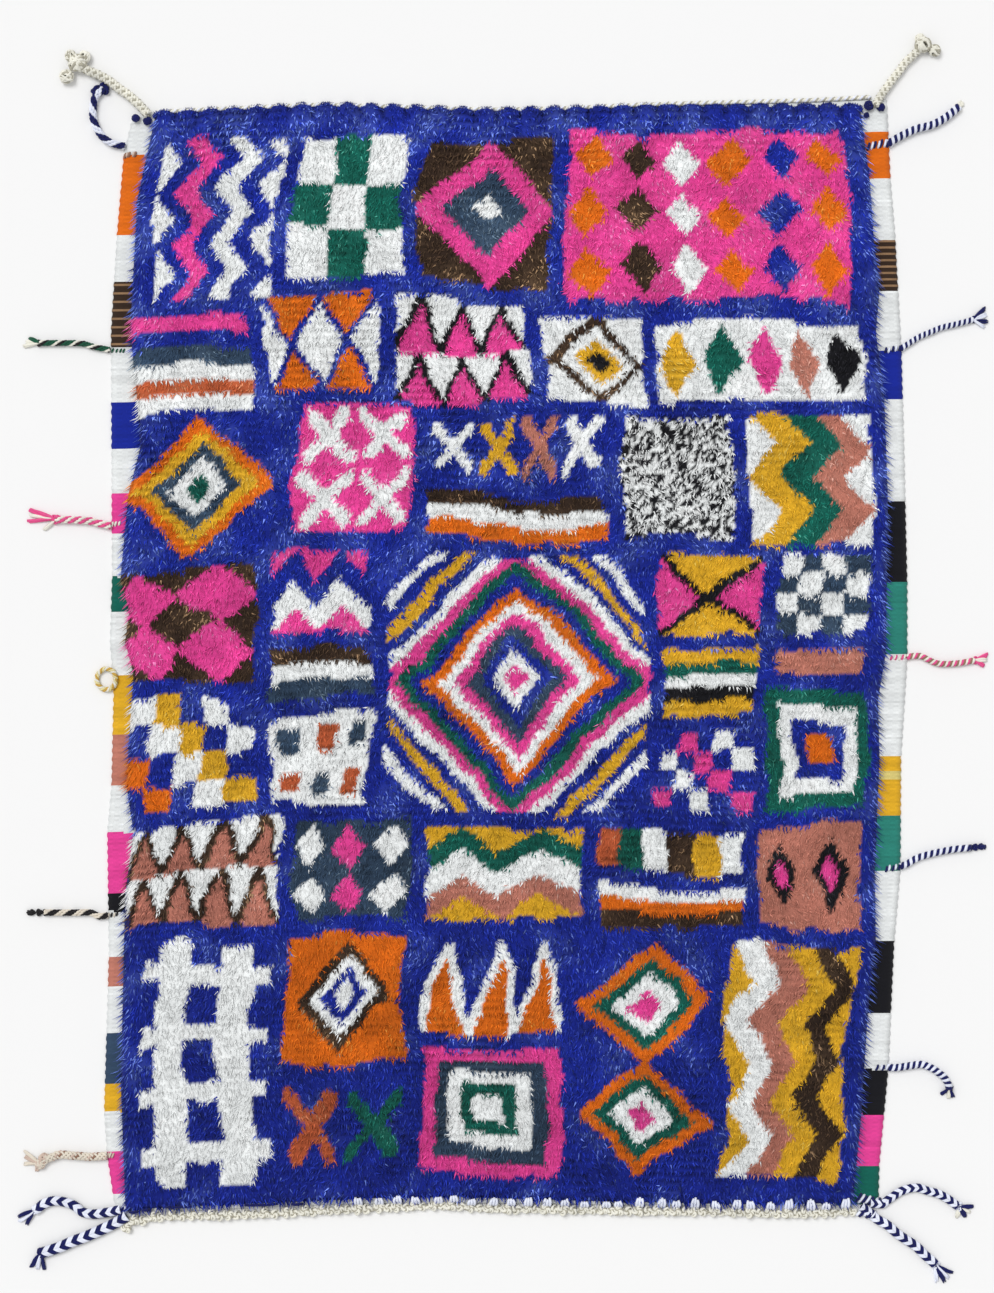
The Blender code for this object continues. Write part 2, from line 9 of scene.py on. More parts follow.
import bpy
import numpy as np
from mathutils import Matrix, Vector


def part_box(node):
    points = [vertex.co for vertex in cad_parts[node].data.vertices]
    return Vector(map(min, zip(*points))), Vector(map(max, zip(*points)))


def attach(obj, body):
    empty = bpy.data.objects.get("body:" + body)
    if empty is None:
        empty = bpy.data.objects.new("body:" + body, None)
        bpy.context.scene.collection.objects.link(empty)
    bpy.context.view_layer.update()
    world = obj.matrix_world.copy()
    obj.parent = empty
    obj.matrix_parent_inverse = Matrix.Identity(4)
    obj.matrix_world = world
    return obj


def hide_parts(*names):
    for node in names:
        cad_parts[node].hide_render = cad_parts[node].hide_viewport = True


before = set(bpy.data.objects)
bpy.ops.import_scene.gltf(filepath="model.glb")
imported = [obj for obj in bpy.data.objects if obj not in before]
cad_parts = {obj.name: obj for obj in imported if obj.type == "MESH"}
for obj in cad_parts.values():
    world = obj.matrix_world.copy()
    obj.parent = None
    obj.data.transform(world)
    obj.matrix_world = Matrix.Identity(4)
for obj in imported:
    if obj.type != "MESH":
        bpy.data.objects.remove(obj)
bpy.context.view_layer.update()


# The flat weave.
# A weft-faced wool cloth that the knots are tied on. It shows as a strip down each side, in blocks of
# colour, and its warp threads stand up as fine ribs. It is woven in one piece with the pile.

MM = 0.001
CM = 0.01
GROUND_HALF_WIDTH = 0.745
GROUND_THICK = 4 * MM
STRIP_SHARE = 0.055
STRIP_THREADS = 8
MIDDLE_THREADS = 4
PICKS = 520
PICK_RELIEF = 0.4 * MM
SELVEDGE_DROP = 0.8 * MM
SELVEDGE_WAVE = 0.7 * MM
LEFT_LINE_EVERY = 4
RIGHT_LINE_EVERY = 3
WEFT_SEED = 2
WEFT_LIGHT = 0.81
WEFT_UNEVENNESS = 0.05
# Painted shade for the weft where it dips under the warp.
WEFT_HOLLOW_SHADE = 0.94
DYE_PATCHES_PER_METRE = 35.0
NAP_STRENGTH = 0.7
WOOL_FINISH = {"Roughness": 0.92, "Specular IOR Level": 0.1, "Sheen Weight": 0.1, "Sheen Roughness": 0.6}

# Edges of the weave. On a side each row is (height up the rug, across), on an end it is (across, height).
GROUND_LEFT = (
    (-1.062, -0.742), (-1.020, -0.748), (-0.940, -0.760), (-0.860, -0.765), (-0.560, -0.756),
    (-0.330, -0.759), (-0.240, -0.751), (-0.060, -0.747), (0.030, -0.754), (0.150, -0.750),
    (0.620, -0.752), (0.800, -0.741), (0.955, -0.728), (1.028, -0.711),
)
GROUND_RIGHT = (
    (-1.037, 0.705), (-0.960, 0.707), (-0.780, 0.724), (-0.540, 0.735), (-0.400, 0.747),
    (-0.190, 0.748), (0.000, 0.760), (0.140, 0.760), (0.390, 0.754), (0.580, 0.749),
    (0.800, 0.737), (0.910, 0.728), (1.060, 0.721),
)
GROUND_TOP = (
    (-0.711, 1.028), (-0.669, 1.030), (-0.422, 1.041), (-0.336, 1.043), (-0.050, 1.035),
    (0.100, 1.037), (0.290, 1.045), (0.560, 1.052), (0.721, 1.060),
)
GROUND_BOTTOM = (
    (-0.742, -1.062), (-0.710, -1.060), (-0.650, -1.050), (-0.490, -1.046), (-0.300, -1.036),
    (-0.108, -1.029), (-0.050, -1.034), (0.180, -1.038), (0.370, -1.040), (0.560, -1.044),
    (0.650, -1.040), (0.705, -1.037),
)

# The weft's colour blocks down each side, each with the height at which it starts.
LEFT_BLOCKS = (
    (1.10, "ivory"), (0.954, "orange"), (0.802, "ivory"), (0.716, "brown"), (0.589, "ivory"),
    (0.486, "blue"), (0.399, "ivory"), (0.314, "pink"), (0.236, "ivory"), (0.154, "green"), (0.087, "ivory"),
    (-0.032, "yellow"), (-0.144, "rose"), (-0.241, "ivory"), (-0.331, "pink"), (-0.447, "black"),
    (-0.481, "ivory"), (-0.566, "rose"), (-0.623, "ivory"), (-0.711, "slate"), (-0.809, "yellow"),
    (-0.861, "ivory"), (-0.937, "pink"), (-1.018, "ivory"),
)
RIGHT_BLOCKS = (
    (1.10, "ivory"), (0.999, "orange"), (0.910, "ivory"), (0.794, "brown"), (0.697, "ivory"),
    (0.583, "blue"), (0.490, "ivory"), (0.298, "black"), (0.144, "teal"), (0.008, "ivory"),
    (-0.188, "yellow"), (-0.213, "straw"), (-0.232, "yellow"), (-0.298, "teal"), (-0.403, "ivory"),
    (-0.538, "black"), (-0.675, "ivory"), (-0.781, "black"), (-0.866, "pink"), (-0.963, "green"),
)


def dyed(red, green, blue):
    """Linear light of a colour given as it looks on a screen, each part from 0 to 255."""
    parts = np.array((red, green, blue)) / 255
    return np.where(parts > 0.04045, ((parts + 0.055) / 1.055) ** 2.4, parts / 12.92)


WOOL = {
    "blue": dyed(22, 42, 160),
    "ivory": dyed(247, 250, 250),
    "pink": dyed(246, 72, 162),
    "orange": dyed(240, 116, 22),
    "yellow": dyed(240, 184, 42),
    "straw": dyed(232, 214, 130),
    "green": dyed(16, 104, 90),
    "teal": dyed(48, 140, 126),
    "slate": dyed(56, 78, 104),
    "brown": dyed(58, 42, 32),
    "tan": dyed(158, 124, 92),
    "black": dyed(22, 22, 28),
    "rose": dyed(204, 130, 112),
    "rust": dyed(206, 100, 60),
}

Edges = namedtuple("Edges", "bottom top left right half_width")
GROUND_EDGES = Edges(GROUND_BOTTOM, GROUND_TOP, GROUND_LEFT, GROUND_RIGHT, GROUND_HALF_WIDTH)


def edge_at(rows, place):
    """Reads an edge between its rows, level past both of its ends."""
    places, values = zip(*rows)
    return np.interp(place, places, values)


def lie_of_cloth(across, along, edges):
    """Where the hand-woven rug has the places given as shares of its width and of its length."""
    straight = (2 * across - 1) * edges.half_width
    bottom = edge_at(edges.bottom, straight)
    y = bottom + along * (edge_at(edges.top, straight) - bottom)
    left = edge_at(edges.left, y)
    return left + across * (edge_at(edges.right, y) - left), y


def deselect_all():
    bpy.ops.object.select_all(action="DESELECT")


def vectors_of(items, field):
    """A field of every point or every face of a mesh, a row for each."""
    values = np.empty(len(items) * 3)
    items.foreach_get(field, values)
    return values.reshape(-1, 3)


def move_points(mesh, points):
    mesh.vertices.foreach_set("co", points.ravel())
    mesh.update()


def paint(mesh, domain, colours):
    """Gives a mesh its yarn colours, with any painted shade in them, as an attribute that its material
    reads.
    """
    layer = mesh.color_attributes.new("yarn", "FLOAT_COLOR", domain)
    layer.data.foreach_set("color", np.column_stack((colours, np.ones(len(colours)))).ravel())


def set_inputs(tree, node, inputs):
    """Gives each input of a node its value, or links it to the output of another one."""
    for socket, value in inputs.items():
        if isinstance(value, bpy.types.NodeSocket):
            tree.links.new(value, node.inputs[socket])
        else:
            node.inputs[socket].default_value = value


def add_node(tree, kind, inputs, operation=None):
    node = tree.nodes.new(kind)
    if operation:
        node.operation = operation
    set_inputs(tree, node, inputs)
    return node


def attribute(tree, name):
    """What a mesh attribute gives, as the outputs of the node that reads it."""
    node = tree.nodes.new("ShaderNodeAttribute")
    node.attribute_name = name
    return node.outputs


def spun_wool_group():
    """Spun wool: uneven dye, and a nap of fine fibres that stands up a little."""
    group = bpy.data.node_groups.new("spun_wool", "ShaderNodeTree")
    for socket, kind, value in (
        ("Colour", "NodeSocketColor", (0.5, 0.5, 0.5, 1.0)),
        ("Unevenness", "NodeSocketFloat", 0.2),
        ("Fibres per metre", "NodeSocketFloat", 900.0),
        ("Nap", "NodeSocketFloat", 0.0005),
        ("Normal", "NodeSocketVector", (0.0, 0.0, 1.0)),
    ):
        group.interface.new_socket(socket, in_out="INPUT", socket_type=kind).default_value = value
    for socket, kind in (("Colour", "NodeSocketColor"), ("Normal", "NodeSocketVector")):
        group.interface.new_socket(socket, in_out="OUTPUT", socket_type=kind)
    given = add_node(group, "NodeGroupInput", {}).outputs
    place = add_node(group, "ShaderNodeTexCoord", {}).outputs["Object"]
    fibres, patches = (
        add_node(group, "ShaderNodeTexNoise", {"Vector": place, "Scale": scale, "Detail": fine})
        for scale, fine in ((given["Fibres per metre"], 2.0), (DYE_PATCHES_PER_METRE, 3.0))
    )
    both = add_node(group, "ShaderNodeMath", {0: fibres.outputs["Fac"], 1: patches.outputs["Fac"]}, "ADD")
    centred = add_node(group, "ShaderNodeMath", {0: both.outputs[0], 1: 1.0}, "SUBTRACT")
    shade = add_node(
        group, "ShaderNodeMath", {0: centred.outputs[0], 1: given["Unevenness"], 2: 1.0}, "MULTIPLY_ADD",
    )
    shaded = add_node(
        group, "ShaderNodeVectorMath", {0: given["Colour"], "Scale": shade.outputs[0]}, "SCALE",
    )
    bump = add_node(group, "ShaderNodeBump", {
        "Strength": NAP_STRENGTH, "Distance": given["Nap"],
        "Height": fibres.outputs["Fac"], "Normal": given["Normal"],
    })
    add_node(group, "NodeGroupOutput", {"Colour": shaded.outputs[0], "Normal": bump.outputs["Normal"]})
    return group


SPUN_WOOL = spun_wool_group()


def wool_material(name, unevenness, fibres, nap, lift=0.0):
    """A wool material with the fibre effect in place; its colour is still to be linked or set.

    Wool lets light through, so fibres that stand are as bright as if they faced up a little: the lift.
    """
    material = bpy.data.materials.new(name)
    material.use_nodes = True
    tree = material.node_tree
    normal = add_node(tree, "ShaderNodeNewGeometry", {}).outputs["Normal"]
    lifted = add_node(
        tree, "ShaderNodeVectorMath", {0: normal, 1: (1 - lift, 1 - lift, 1 - lift), 2: (0.0, 0.0, lift)},
        "MULTIPLY_ADD",
    )
    even = add_node(tree, "ShaderNodeVectorMath", {0: lifted.outputs[0]}, "NORMALIZE")
    spun = tree.nodes.new("ShaderNodeGroup")
    spun.node_tree = SPUN_WOOL
    set_inputs(tree, spun, {
        "Unevenness": unevenness, "Fibres per metre": fibres, "Nap": nap, "Normal": even.outputs[0],
    })
    set_inputs(tree, tree.nodes["Principled BSDF"], {
        "Base Color": spun.outputs["Colour"], "Normal": spun.outputs["Normal"], **WOOL_FINISH,
    })
    return material, spun


def woven_material(name, unevenness, fibres, nap):
    """Wool whose colour changes from place to place, as its yarn attribute says."""
    material, spun = wool_material(name, unevenness, fibres, nap)
    tree = material.node_tree
    set_inputs(tree, spun, {"Colour": attribute(tree, "yarn")["Color"]})
    return material


def block_colours(blocks, heights, pick, line_every):
    """The weft's colour at each height, with thin light lines across the brown blocks."""
    starts = -np.array([start for start, _ in blocks])
    names = np.array([yarn for _, yarn in blocks])[np.searchsorted(starts, -heights) - 1]
    names[(names == "brown") & (pick % line_every == 0)] = "tan"
    return WEFT_LIGHT * np.array([WOOL[name] for name in names])


def weave_ground():
    strip = np.linspace(0, STRIP_SHARE, STRIP_THREADS + 1)
    middle = np.linspace(STRIP_SHARE, 1 - STRIP_SHARE, MIDDLE_THREADS + 1)[1:-1]
    threads = np.concatenate((strip, middle, 1 - strip[::-1]))
    last = len(threads) - 1
    deselect_all()
    bpy.ops.mesh.primitive_grid_add(x_subdivisions=last, y_subdivisions=PICKS, size=1.0)
    ground = bpy.context.object
    ground.name = "woven_ground"
    across, along, _ = (vectors_of(ground.data.polygons, "center") + 0.5).T
    cell_thread, cell_pick = (across * last).astype(int), (along * PICKS).astype(int)
    across, along, _ = (vectors_of(ground.data.vertices, "co") + 0.5).T
    thread, pick = np.rint(across * last).astype(int), np.rint(along * PICKS).astype(int)
    x, y = lie_of_cloth(threads[thread], pick / PICKS, GROUND_EDGES)
    outermost = (thread == 0) | (thread == last)
    ribs = PICK_RELIEF * np.where((thread + pick) % 2 == 0, 1, -1)
    z = GROUND_THICK - SELVEDGE_DROP * outermost + ribs
    x += outermost * np.sign(x) * SELVEDGE_WAVE * np.where(pick % 4 < 2, 1, -1)
    move_points(ground.data, np.column_stack((x, y, z)))
    x, y, _ = vectors_of(ground.data.polygons, "center").T
    left = block_colours(LEFT_BLOCKS, y, cell_pick, LEFT_LINE_EVERY)
    right = block_colours(RIGHT_BLOCKS, y, cell_pick, RIGHT_LINE_EVERY)
    colours = np.where((x < 0)[:, None], left, right)
    colours[np.minimum(cell_thread, last - 1 - cell_thread) >= STRIP_THREADS] = WEFT_LIGHT * WOOL["ivory"]
    weft = np.random.default_rng(WEFT_SEED).normal(1, WEFT_UNEVENNESS, PICKS)[cell_pick]
    # Painted shade: every other cell of the weft is a little darker, as where the yarn dips under a warp
    # thread.
    under = np.where((cell_thread + cell_pick) % 2 == 0, WEFT_HOLLOW_SHADE, 1)
    paint(ground.data, "CORNER", np.repeat(colours * (weft * under)[:, None], 4, axis=0))
    wall = ground.modifiers.new("thickness", "SOLIDIFY")
    wall.thickness = GROUND_THICK
    wall.offset = -1.0
    bpy.ops.object.modifier_apply(modifier=wall.name)
    points = vectors_of(ground.data.vertices, "co")
    points[:, 2] = np.maximum(points[:, 2], 0)
    move_points(ground.data, points)
    ground.data.materials.append(woven_material("woven_weft", unevenness=0.3, fibres=600.0, nap=0.6 * MM))
    bpy.ops.object.shade_smooth()
    return ground


ground = weave_ground()
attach(ground, "root")


# The chart of the pile.
# The knots follow a patchwork of ordinary berber figures on a blue field: zigzags, lozenges, steps and
# crosses, each in a panel of its own. A figure is drawn knot by knot, so its edges step as tied wool does.

KNOT_WIDTH = 7 * MM
ROW_PITCH = 14 * MM
PILE_HALF_WIDTH = 0.71
PILE_HALF_LENGTH = 1.04
PILE_LEFT = (
    (-1.050, -0.729), (-0.810, -0.738), (-0.450, -0.730), (-0.330, -0.714), (-0.240, -0.728),
    (-0.030, -0.714), (0.030, -0.730), (0.090, -0.722), (0.150, -0.739), (0.310, -0.724),
    (0.400, -0.701), (0.490, -0.707), (0.620, -0.720), (0.870, -0.707), (0.955, -0.688),
    (1.040, -0.670),
)
PILE_RIGHT = (
    (-1.036, 0.661), (-0.870, 0.677), (-0.670, 0.690), (-0.540, 0.705), (-0.400, 0.703),
    (-0.190, 0.712), (-0.080, 0.709), (0.010, 0.724), (0.300, 0.728), (0.490, 0.721),
    (0.620, 0.705), (0.700, 0.712), (0.800, 0.701), (0.910, 0.693), (1.050, 0.674),
)
PILE_TOP = (
    (-0.670, 1.041), (-0.420, 1.053), (-0.340, 1.055), (-0.050, 1.045), (0.100, 1.048),
    (0.290, 1.053), (0.670, 1.053),
)
PILE_BOTTOM = (
    (-0.730, -1.054), (-0.650, -1.044), (-0.390, -1.032), (-0.220, -1.025), (-0.050, -1.023),
    (0.180, -1.030), (0.560, -1.038), (0.660, -1.034),
)
PILE_EDGES = Edges(PILE_BOTTOM, PILE_TOP, PILE_LEFT, PILE_RIGHT, PILE_HALF_WIDTH)
YARNS = tuple(WOOL)
DYES = np.array(list(WOOL.values()))

# How wide the figures' lines and forms are, in shares of half a repeat.
DIAMOND = 0.86
BOW_OUTLINE = 0.13
TOOTH_OUTLINE = 0.16
CROSS_LINE = 0.3
CROSS_REACH = 0.85
SPOT = 0.55
RAIL = 0.5
RUNG = 0.28


def fold(place):
    """How far each place is from the middle of its repeat, from 0 there to 1 at the repeat's ends."""
    return np.abs(2 * np.mod(place, 1.0) - 1)


def in_turn(place, count):
    """The yarn of each repeat, where the yarns take turns."""
    return np.floor(place).astype(int) % count


def one_in_another(reach, count):
    """The yarn of each ring, the first one in the middle and the last one in the corners."""
    return np.minimum(reach.astype(int), count - 1)


def stripes(across, up, count):
    return in_turn(up, count)


def bars(across, up, count):
    return in_turn(across, count)


def steps(across, up, count):
    """Squares that change colour one by one, as a checker with two yarns and as steps with more."""
    return in_turn(np.floor(across) + np.floor(up), count)


def lozenges(across, up, count):
    return one_in_another((fold(across) + fold(up)) * (count - 1) / 1.05, count)


def medallion(across, up, count):
    """Lozenges that run on past the sides, so that chevrons fill the corners."""
    return one_in_another((fold(across) + fold(up)) * count / 1.75, count)


def frames(across, up, count):
    return one_in_another(np.maximum(fold(across), fold(up)) * count, count)


def zigzag(across, up, count):
    """Lines that run across in a zigzag."""
    return in_turn(up + fold(across), count)


def upright_zigzag(across, up, count):
    return zigzag(up, across, count)


def diamonds(across, up, count):
    """Single lozenges on a ground, each column of them in another yarn."""
    return np.where(fold(across) + fold(up) < DIAMOND, 1 + in_turn(across, count - 1), 0)


def bow_ties(across, up, count):
    """Two triangles tip to tip on a ground, with an outline where there is a third yarn."""
    wide, high = fold(across), fold(up)
    figure = np.where(high > wide, 1, 0)
    if count > 2:
        figure[np.abs(high - wide) < BOW_OUTLINE] = 2
    return figure


def teeth(across, up, count):
    """Triangles that stand on a line, in turn in each yarn but the ground's and the last, their outline."""
    width, height = 1 - fold(across), np.mod(up, 1.0)
    figure = 1 + in_turn(across, count - 2)
    figure[np.abs(width - height) < TOOTH_OUTLINE] = count - 1
    figure[height > width + TOOTH_OUTLINE] = 0
    return figure


def crosses(across, up, count):
    """Slanting crosses on a ground, in turn in each other yarn."""
    wide, high = fold(across), fold(up)
    inside = (np.abs(wide - high) < CROSS_LINE) & (np.maximum(wide, high) < CROSS_REACH)
    return np.where(inside, 1 + in_turn(across, count - 1), 0)


def spots(across, up, count):
    """Small squares on a ground, in turn in each other yarn."""
    return np.where(np.maximum(fold(across), fold(up)) < SPOT, 1 + steps(across, up, count - 1), 0)


def ladder(across, up, count):
    """Upright rails with rungs between them."""
    return np.where((fold(across) < RAIL) | (fold(up) < RUNG), 1, 0)


def speckle(across, up, count):
    """Knots of two yarns mixed as they come."""
    grain = np.sin(across * 97.0 + 41.0 * np.sin(up * 61.0)) * 43758.5
    return np.where(np.mod(grain, 1.0) > 0.5, 1, 0)


# Each panel's figure, its sides in centimetres from the rug's middle, its repeats each way and its yarns.
PANELS = (
    (upright_zigzag, -67, -44, 68, 98, (6, 3), "ivory blue pink blue ivory blue"),
    (steps, -41, -19, 71, 98, (3, 3), "ivory green"),
    (lozenges, -16, 9, 70, 98, (1, 1), "ivory slate slate pink pink brown"),
    (diamonds, 12, 66, 67, 99, (6, 3), "pink orange brown ivory orange blue"),
    (stripes, -71, -49, 46, 65, (1, 6), "ivory rust ivory slate blue pink"),
    (bow_ties, -46, -24, 50, 68, (2, 1), "ivory orange blue"),
    (teeth, -21, 4, 48, 67, (3, 2), "ivory pink black"),
    (lozenges, 7, 26, 47, 64, (1, 1), "black yellow ivory brown ivory"),
    (diamonds, 29, 67, 48, 63, (5, 1), "ivory yellow green pink rose black"),
    (lozenges, -73, -43, 20, 44, (1, 1), "green ivory slate yellow orange blue"),
    (crosses, -40, -18, 23, 47, (2, 2), "pink ivory ivory"),
    (crosses, -15, 18, 33, 45, (4, 1), "blue ivory yellow rose"),
    (stripes, -15, 18, 22, 30, (1, 3), "orange ivory brown"),
    (speckle, 21, 42, 22, 45, (1, 1), "black ivory"),
    (upright_zigzag, 45, 68, 21, 45, (4, 2), "ivory yellow green rose"),
    (lozenges, -73, -47, -5, 17, (2, 2), "pink pink pink brown"),
    (steps, -72, -47, -28, -8, (5, 4), "blue orange blue ivory yellow blue ivory"),
    (zigzag, -44, -25, 4, 20, (2, 3), "pink ivory blue"),
    (stripes, -44, -25, -9, 1, (1, 3), "slate ivory brown"),
    (spots, -44, -25, -28, -12, (3, 2), "ivory rust slate"),
    (
        medallion, -22, 26, -30, 19, (1, 1),
        "pink ivory blue slate pink ivory orange blue green pink ivory blue yellow blue ivory blue",
    ),
    (bow_ties, 29, 47, 4, 19, (1, 1), "pink yellow black"),
    (stripes, 29, 47, -12, 1, (1, 5), "yellow black ivory green yellow"),
    (steps, 29, 47, -29, -15, (5, 4), "pink blue ivory blue"),
    (steps, 50, 67, 4, 19, (4, 4), "slate ivory"),
    (stripes, 50, 67, -4, 1, (1, 1), "rose"),
    (frames, 49, 68, -29, -7, (1, 1), "orange blue ivory green"),
    (teeth, -71, -42, -51, -31, (4, 2), "ivory rose brown"),
    (diamonds, -39, -18, -51, -31, (3, 2), "slate ivory pink"),
    (zigzag, -15, 15, -51, -33, (2, 4), "yellow rose ivory green"),
    (bars, 18, 45, -41, -33, (6, 1), "rust green ivory brown yellow ivory"),
    (stripes, 18, 45, -52, -44, (1, 3), "brown orange ivory"),
    (lozenges, 48, 68, -52, -32, (2, 1), "pink black rose rose"),
    (ladder, -67, -43, -100, -54, (2, 4), "blue ivory"),
    (lozenges, -40, -17, -77, -54, (1, 1), "ivory blue ivory brown orange orange"),
    (crosses, -40, -17, -98, -81, (2, 1), "blue rust green"),
    (teeth, -14, 13, -72, -55, (3, 1), "blue orange ivory"),
    (frames, -14, 13, -99, -75, (1, 1), "ivory green ivory slate pink"),
    (lozenges, 16, 41, -99, -55, (1, 2), "pink ivory green orange blue"),
    (upright_zigzag, 44, 67, -99, -55, (5, 3), "yellow ivory rose yellow brown"),
)


def drift(across, up, pitch, turn):
    """A slow unevenness between -1 and 1, as a hand brings to its work, with its own pitch and turn."""
    first = np.sin(across / pitch * 6.3 + 1.7 * np.sin(up / pitch * 4.1 + turn) + turn)
    second = np.sin(up / pitch * 5.2 + 1.3 * np.sin(across / pitch * 3.7 + 2 * turn) + 3 * turn)
    return (first + second) / 2


def yarn_of_knots(across, up):
    """The yarn of each knot, by its place in centimetres, as its number in YARNS."""
    across = across + 1.2 * drift(across, up, 31.0, 0.3) + 0.4 * drift(across, up, 8.0, 2.3)
    up = up + 1.2 * drift(across, up, 36.0, 1.9) + 0.4 * drift(across, up, 9.0, 0.7)
    yarn = np.full(across.shape, YARNS.index("blue"))
    for figure, left, right, bottom, top, repeats, yarns in PANELS:
        share_across = (across - left) / (right - left)
        share_up = (up - bottom) / (top - bottom)
        inside = (share_across >= 0) & (share_across < 1) & (share_up >= 0) & (share_up < 1)
        numbers = np.array([YARNS.index(name) for name in yarns.split()])
        yarn[inside] = numbers[
            figure(share_across[inside] * repeats[0], share_up[inside] * repeats[1], len(numbers))
        ]
    return yarn


# The body of the pile.
# The tufts stand so close that they make one soft body, lumpy and furrowed between its rows. It is low at
# its rims, it ends in round scallops at the top, and each place has the colour of the yarn tied there,
# with painted shade under the tips, in the furrows, at the rims and round the scallops.

PILE_HEIGHT = 16 * MM
PILE_LUMP = 1.3 * MM
RIM_HEIGHT = 6 * MM
RIM_BAND = 20 * MM
SIDE_INSET = 5 * MM
SCALLOPS = 31
SCALLOP_DEPTH = 13 * MM
SCALLOP_BAND = 34 * MM
SCALLOP_CELLS = 7
SCALLOP_FURROW = 6 * MM
FURROW = 3.0 * MM
# Painted shade in the furrows between rows, on the body and on the locks.
FURROW_PAINTED_SHADE = 0.70
# Painted shade at the rims of the body.
RIM_PAINTED_SHADE = 0.30
# Painted shade at the scallops' rims and in the notches between them.
SCALLOP_RIM_PAINTED_SHADE = 0.5
NOTCH_PAINTED_SHADE = 0.72
NOTCH_WIDTH = 0.35
# Painted shade under the locks: how much light the body gets, before the furrows, rims and scallops.
BODY_PAINTED_LIGHT = 0.66
PALE_IN_BODY = 0.3
MOST_PALE = 0.4
PASSED_ON = 0.75
ROWS = round(2 * PILE_HALF_LENGTH / ROW_PITCH)

# How the wool of a yarn varies: the colour of its paler fibres, their share, and how uneven its shade is.
# The paler fibres are partly heather and partly painted sheen, where fibres catch the light.
HeatherAndSheen = namedtuple("HeatherAndSheen", "paler share unevenness")
HEATHERS_AND_SHEEN = {
    "blue": HeatherAndSheen(dyed(118, 144, 232), 0.25, 0.52),
    "ivory": HeatherAndSheen(dyed(254, 254, 254), 0.30, 0.05),
    "pink": HeatherAndSheen(dyed(250, 150, 206), 0.12, 0.17),
    "orange": HeatherAndSheen(dyed(250, 166, 70), 0.12, 0.16),
    "yellow": HeatherAndSheen(dyed(248, 212, 100), 0.12, 0.16),
    "straw": HeatherAndSheen(dyed(240, 226, 170), 0.12, 0.10),
    "green": HeatherAndSheen(dyed(84, 176, 156), 0.14, 0.32),
    "teal": HeatherAndSheen(dyed(90, 170, 156), 0.20, 0.30),
    "slate": HeatherAndSheen(dyed(120, 142, 162), 0.20, 0.26),
    "brown": HeatherAndSheen(dyed(186, 150, 114), 0.22, 0.34),
    "tan": HeatherAndSheen(dyed(200, 166, 128), 0.30, 0.18),
    "black": HeatherAndSheen(dyed(90, 88, 92), 0.16, 0.30),
    "rose": HeatherAndSheen(dyed(226, 172, 156), 0.18, 0.15),
    "rust": HeatherAndSheen(dyed(226, 150, 110), 0.22, 0.17),
}
PALER, PALE_SHARES, UNEVENNESS = (np.array(column) for column in zip(*(HEATHERS_AND_SHEEN[name] for name in YARNS)))


def near(distance, band):
    """How near a place is to an edge, from 1 at it to 0 a band away from it."""
    return np.clip(1 - distance / band, 0, 1)


def pile_place(x, y):
    """Moves places from the straight rectangle to where the rug has them."""
    across = (x + PILE_HALF_WIDTH) / (2 * PILE_HALF_WIDTH)
    along = (y + PILE_HALF_LENGTH) / (2 * PILE_HALF_LENGTH)
    return lie_of_cloth(across, along, PILE_EDGES)


def scallop_wave(x):
    """How full the scallops are at a place across the rug, from 0 between two of them to 1 in a middle."""
    return np.abs(np.sin(math.pi * ((x + PILE_HALF_WIDTH) / (2 * PILE_HALF_WIDTH) * SCALLOPS)))


def scallop_notch(x):
    """How far the scalloped end falls back at a place across the rug."""
    return SCALLOP_DEPTH * (1 - np.sqrt(scallop_wave(x)))


def scallop_line(x):
    return PILE_HALF_LENGTH - scallop_notch(x)


def straight_place(across, up):
    """Where a share of the pile's width and length is on the straight rectangle, with its scallops."""
    x = (2 * across - 1) * (PILE_HALF_WIDTH - SIDE_INSET)
    y = up * (2 * PILE_HALF_LENGTH) - PILE_HALF_LENGTH
    return x, y - near(PILE_HALF_LENGTH - y, SCALLOP_BAND) * scallop_notch(x)


def distance_to_rim(x, y):
    side = PILE_HALF_WIDTH - SIDE_INSET - np.abs(x)
    end = np.minimum(scallop_line(x) - y, y + PILE_HALF_LENGTH)
    return np.maximum(np.minimum(side, end), 0)


def furrows(x, y):
    """How open the furrow between two rows is at a place, from 0 on a row's crest to 1.

    The rows wander by a few millimetres. Their furrows are widest along the middle of the rug, and open and
    close over half a metre and again over a hand's width.
    """
    row = (y + 5 * MM * drift(x, y, 0.37, 1.1) + 2 * MM * drift(x, y, 0.11, 0.4)) / ROW_PITCH
    openness = np.clip(0.62 + 0.8 * drift(x, y, 0.55, 3.3) - 0.5 * x ** 2, 0.12, 1)
    openness *= np.clip(0.8 + 0.7 * drift(x, y, 0.08, 2.9), 0.15, 1)
    return openness * (0.5 + 0.5 * np.cos(2 * math.pi * row)) ** 2


def between_scallops(x, y):
    """How far a place is down in the notch between two scallops, which runs on into the pile."""
    return near(scallop_line(x) - y, SCALLOP_BAND) * np.exp(-(scallop_wave(x) / NOTCH_WIDTH) ** 2)


def pile_height(x, y):
    lumps = PILE_LUMP * (drift(x, y, 0.30, 0.8) + 0.6 * drift(x, y, 0.09, 2.2))
    top = PILE_HEIGHT + lumps - FURROW * furrows(x, y)
    body = RIM_HEIGHT + (top - RIM_HEIGHT) * np.sqrt(1 - near(distance_to_rim(x, y), RIM_BAND) ** 2)
    return body - np.minimum(SCALLOP_FURROW * between_scallops(x, y), body - RIM_HEIGHT)


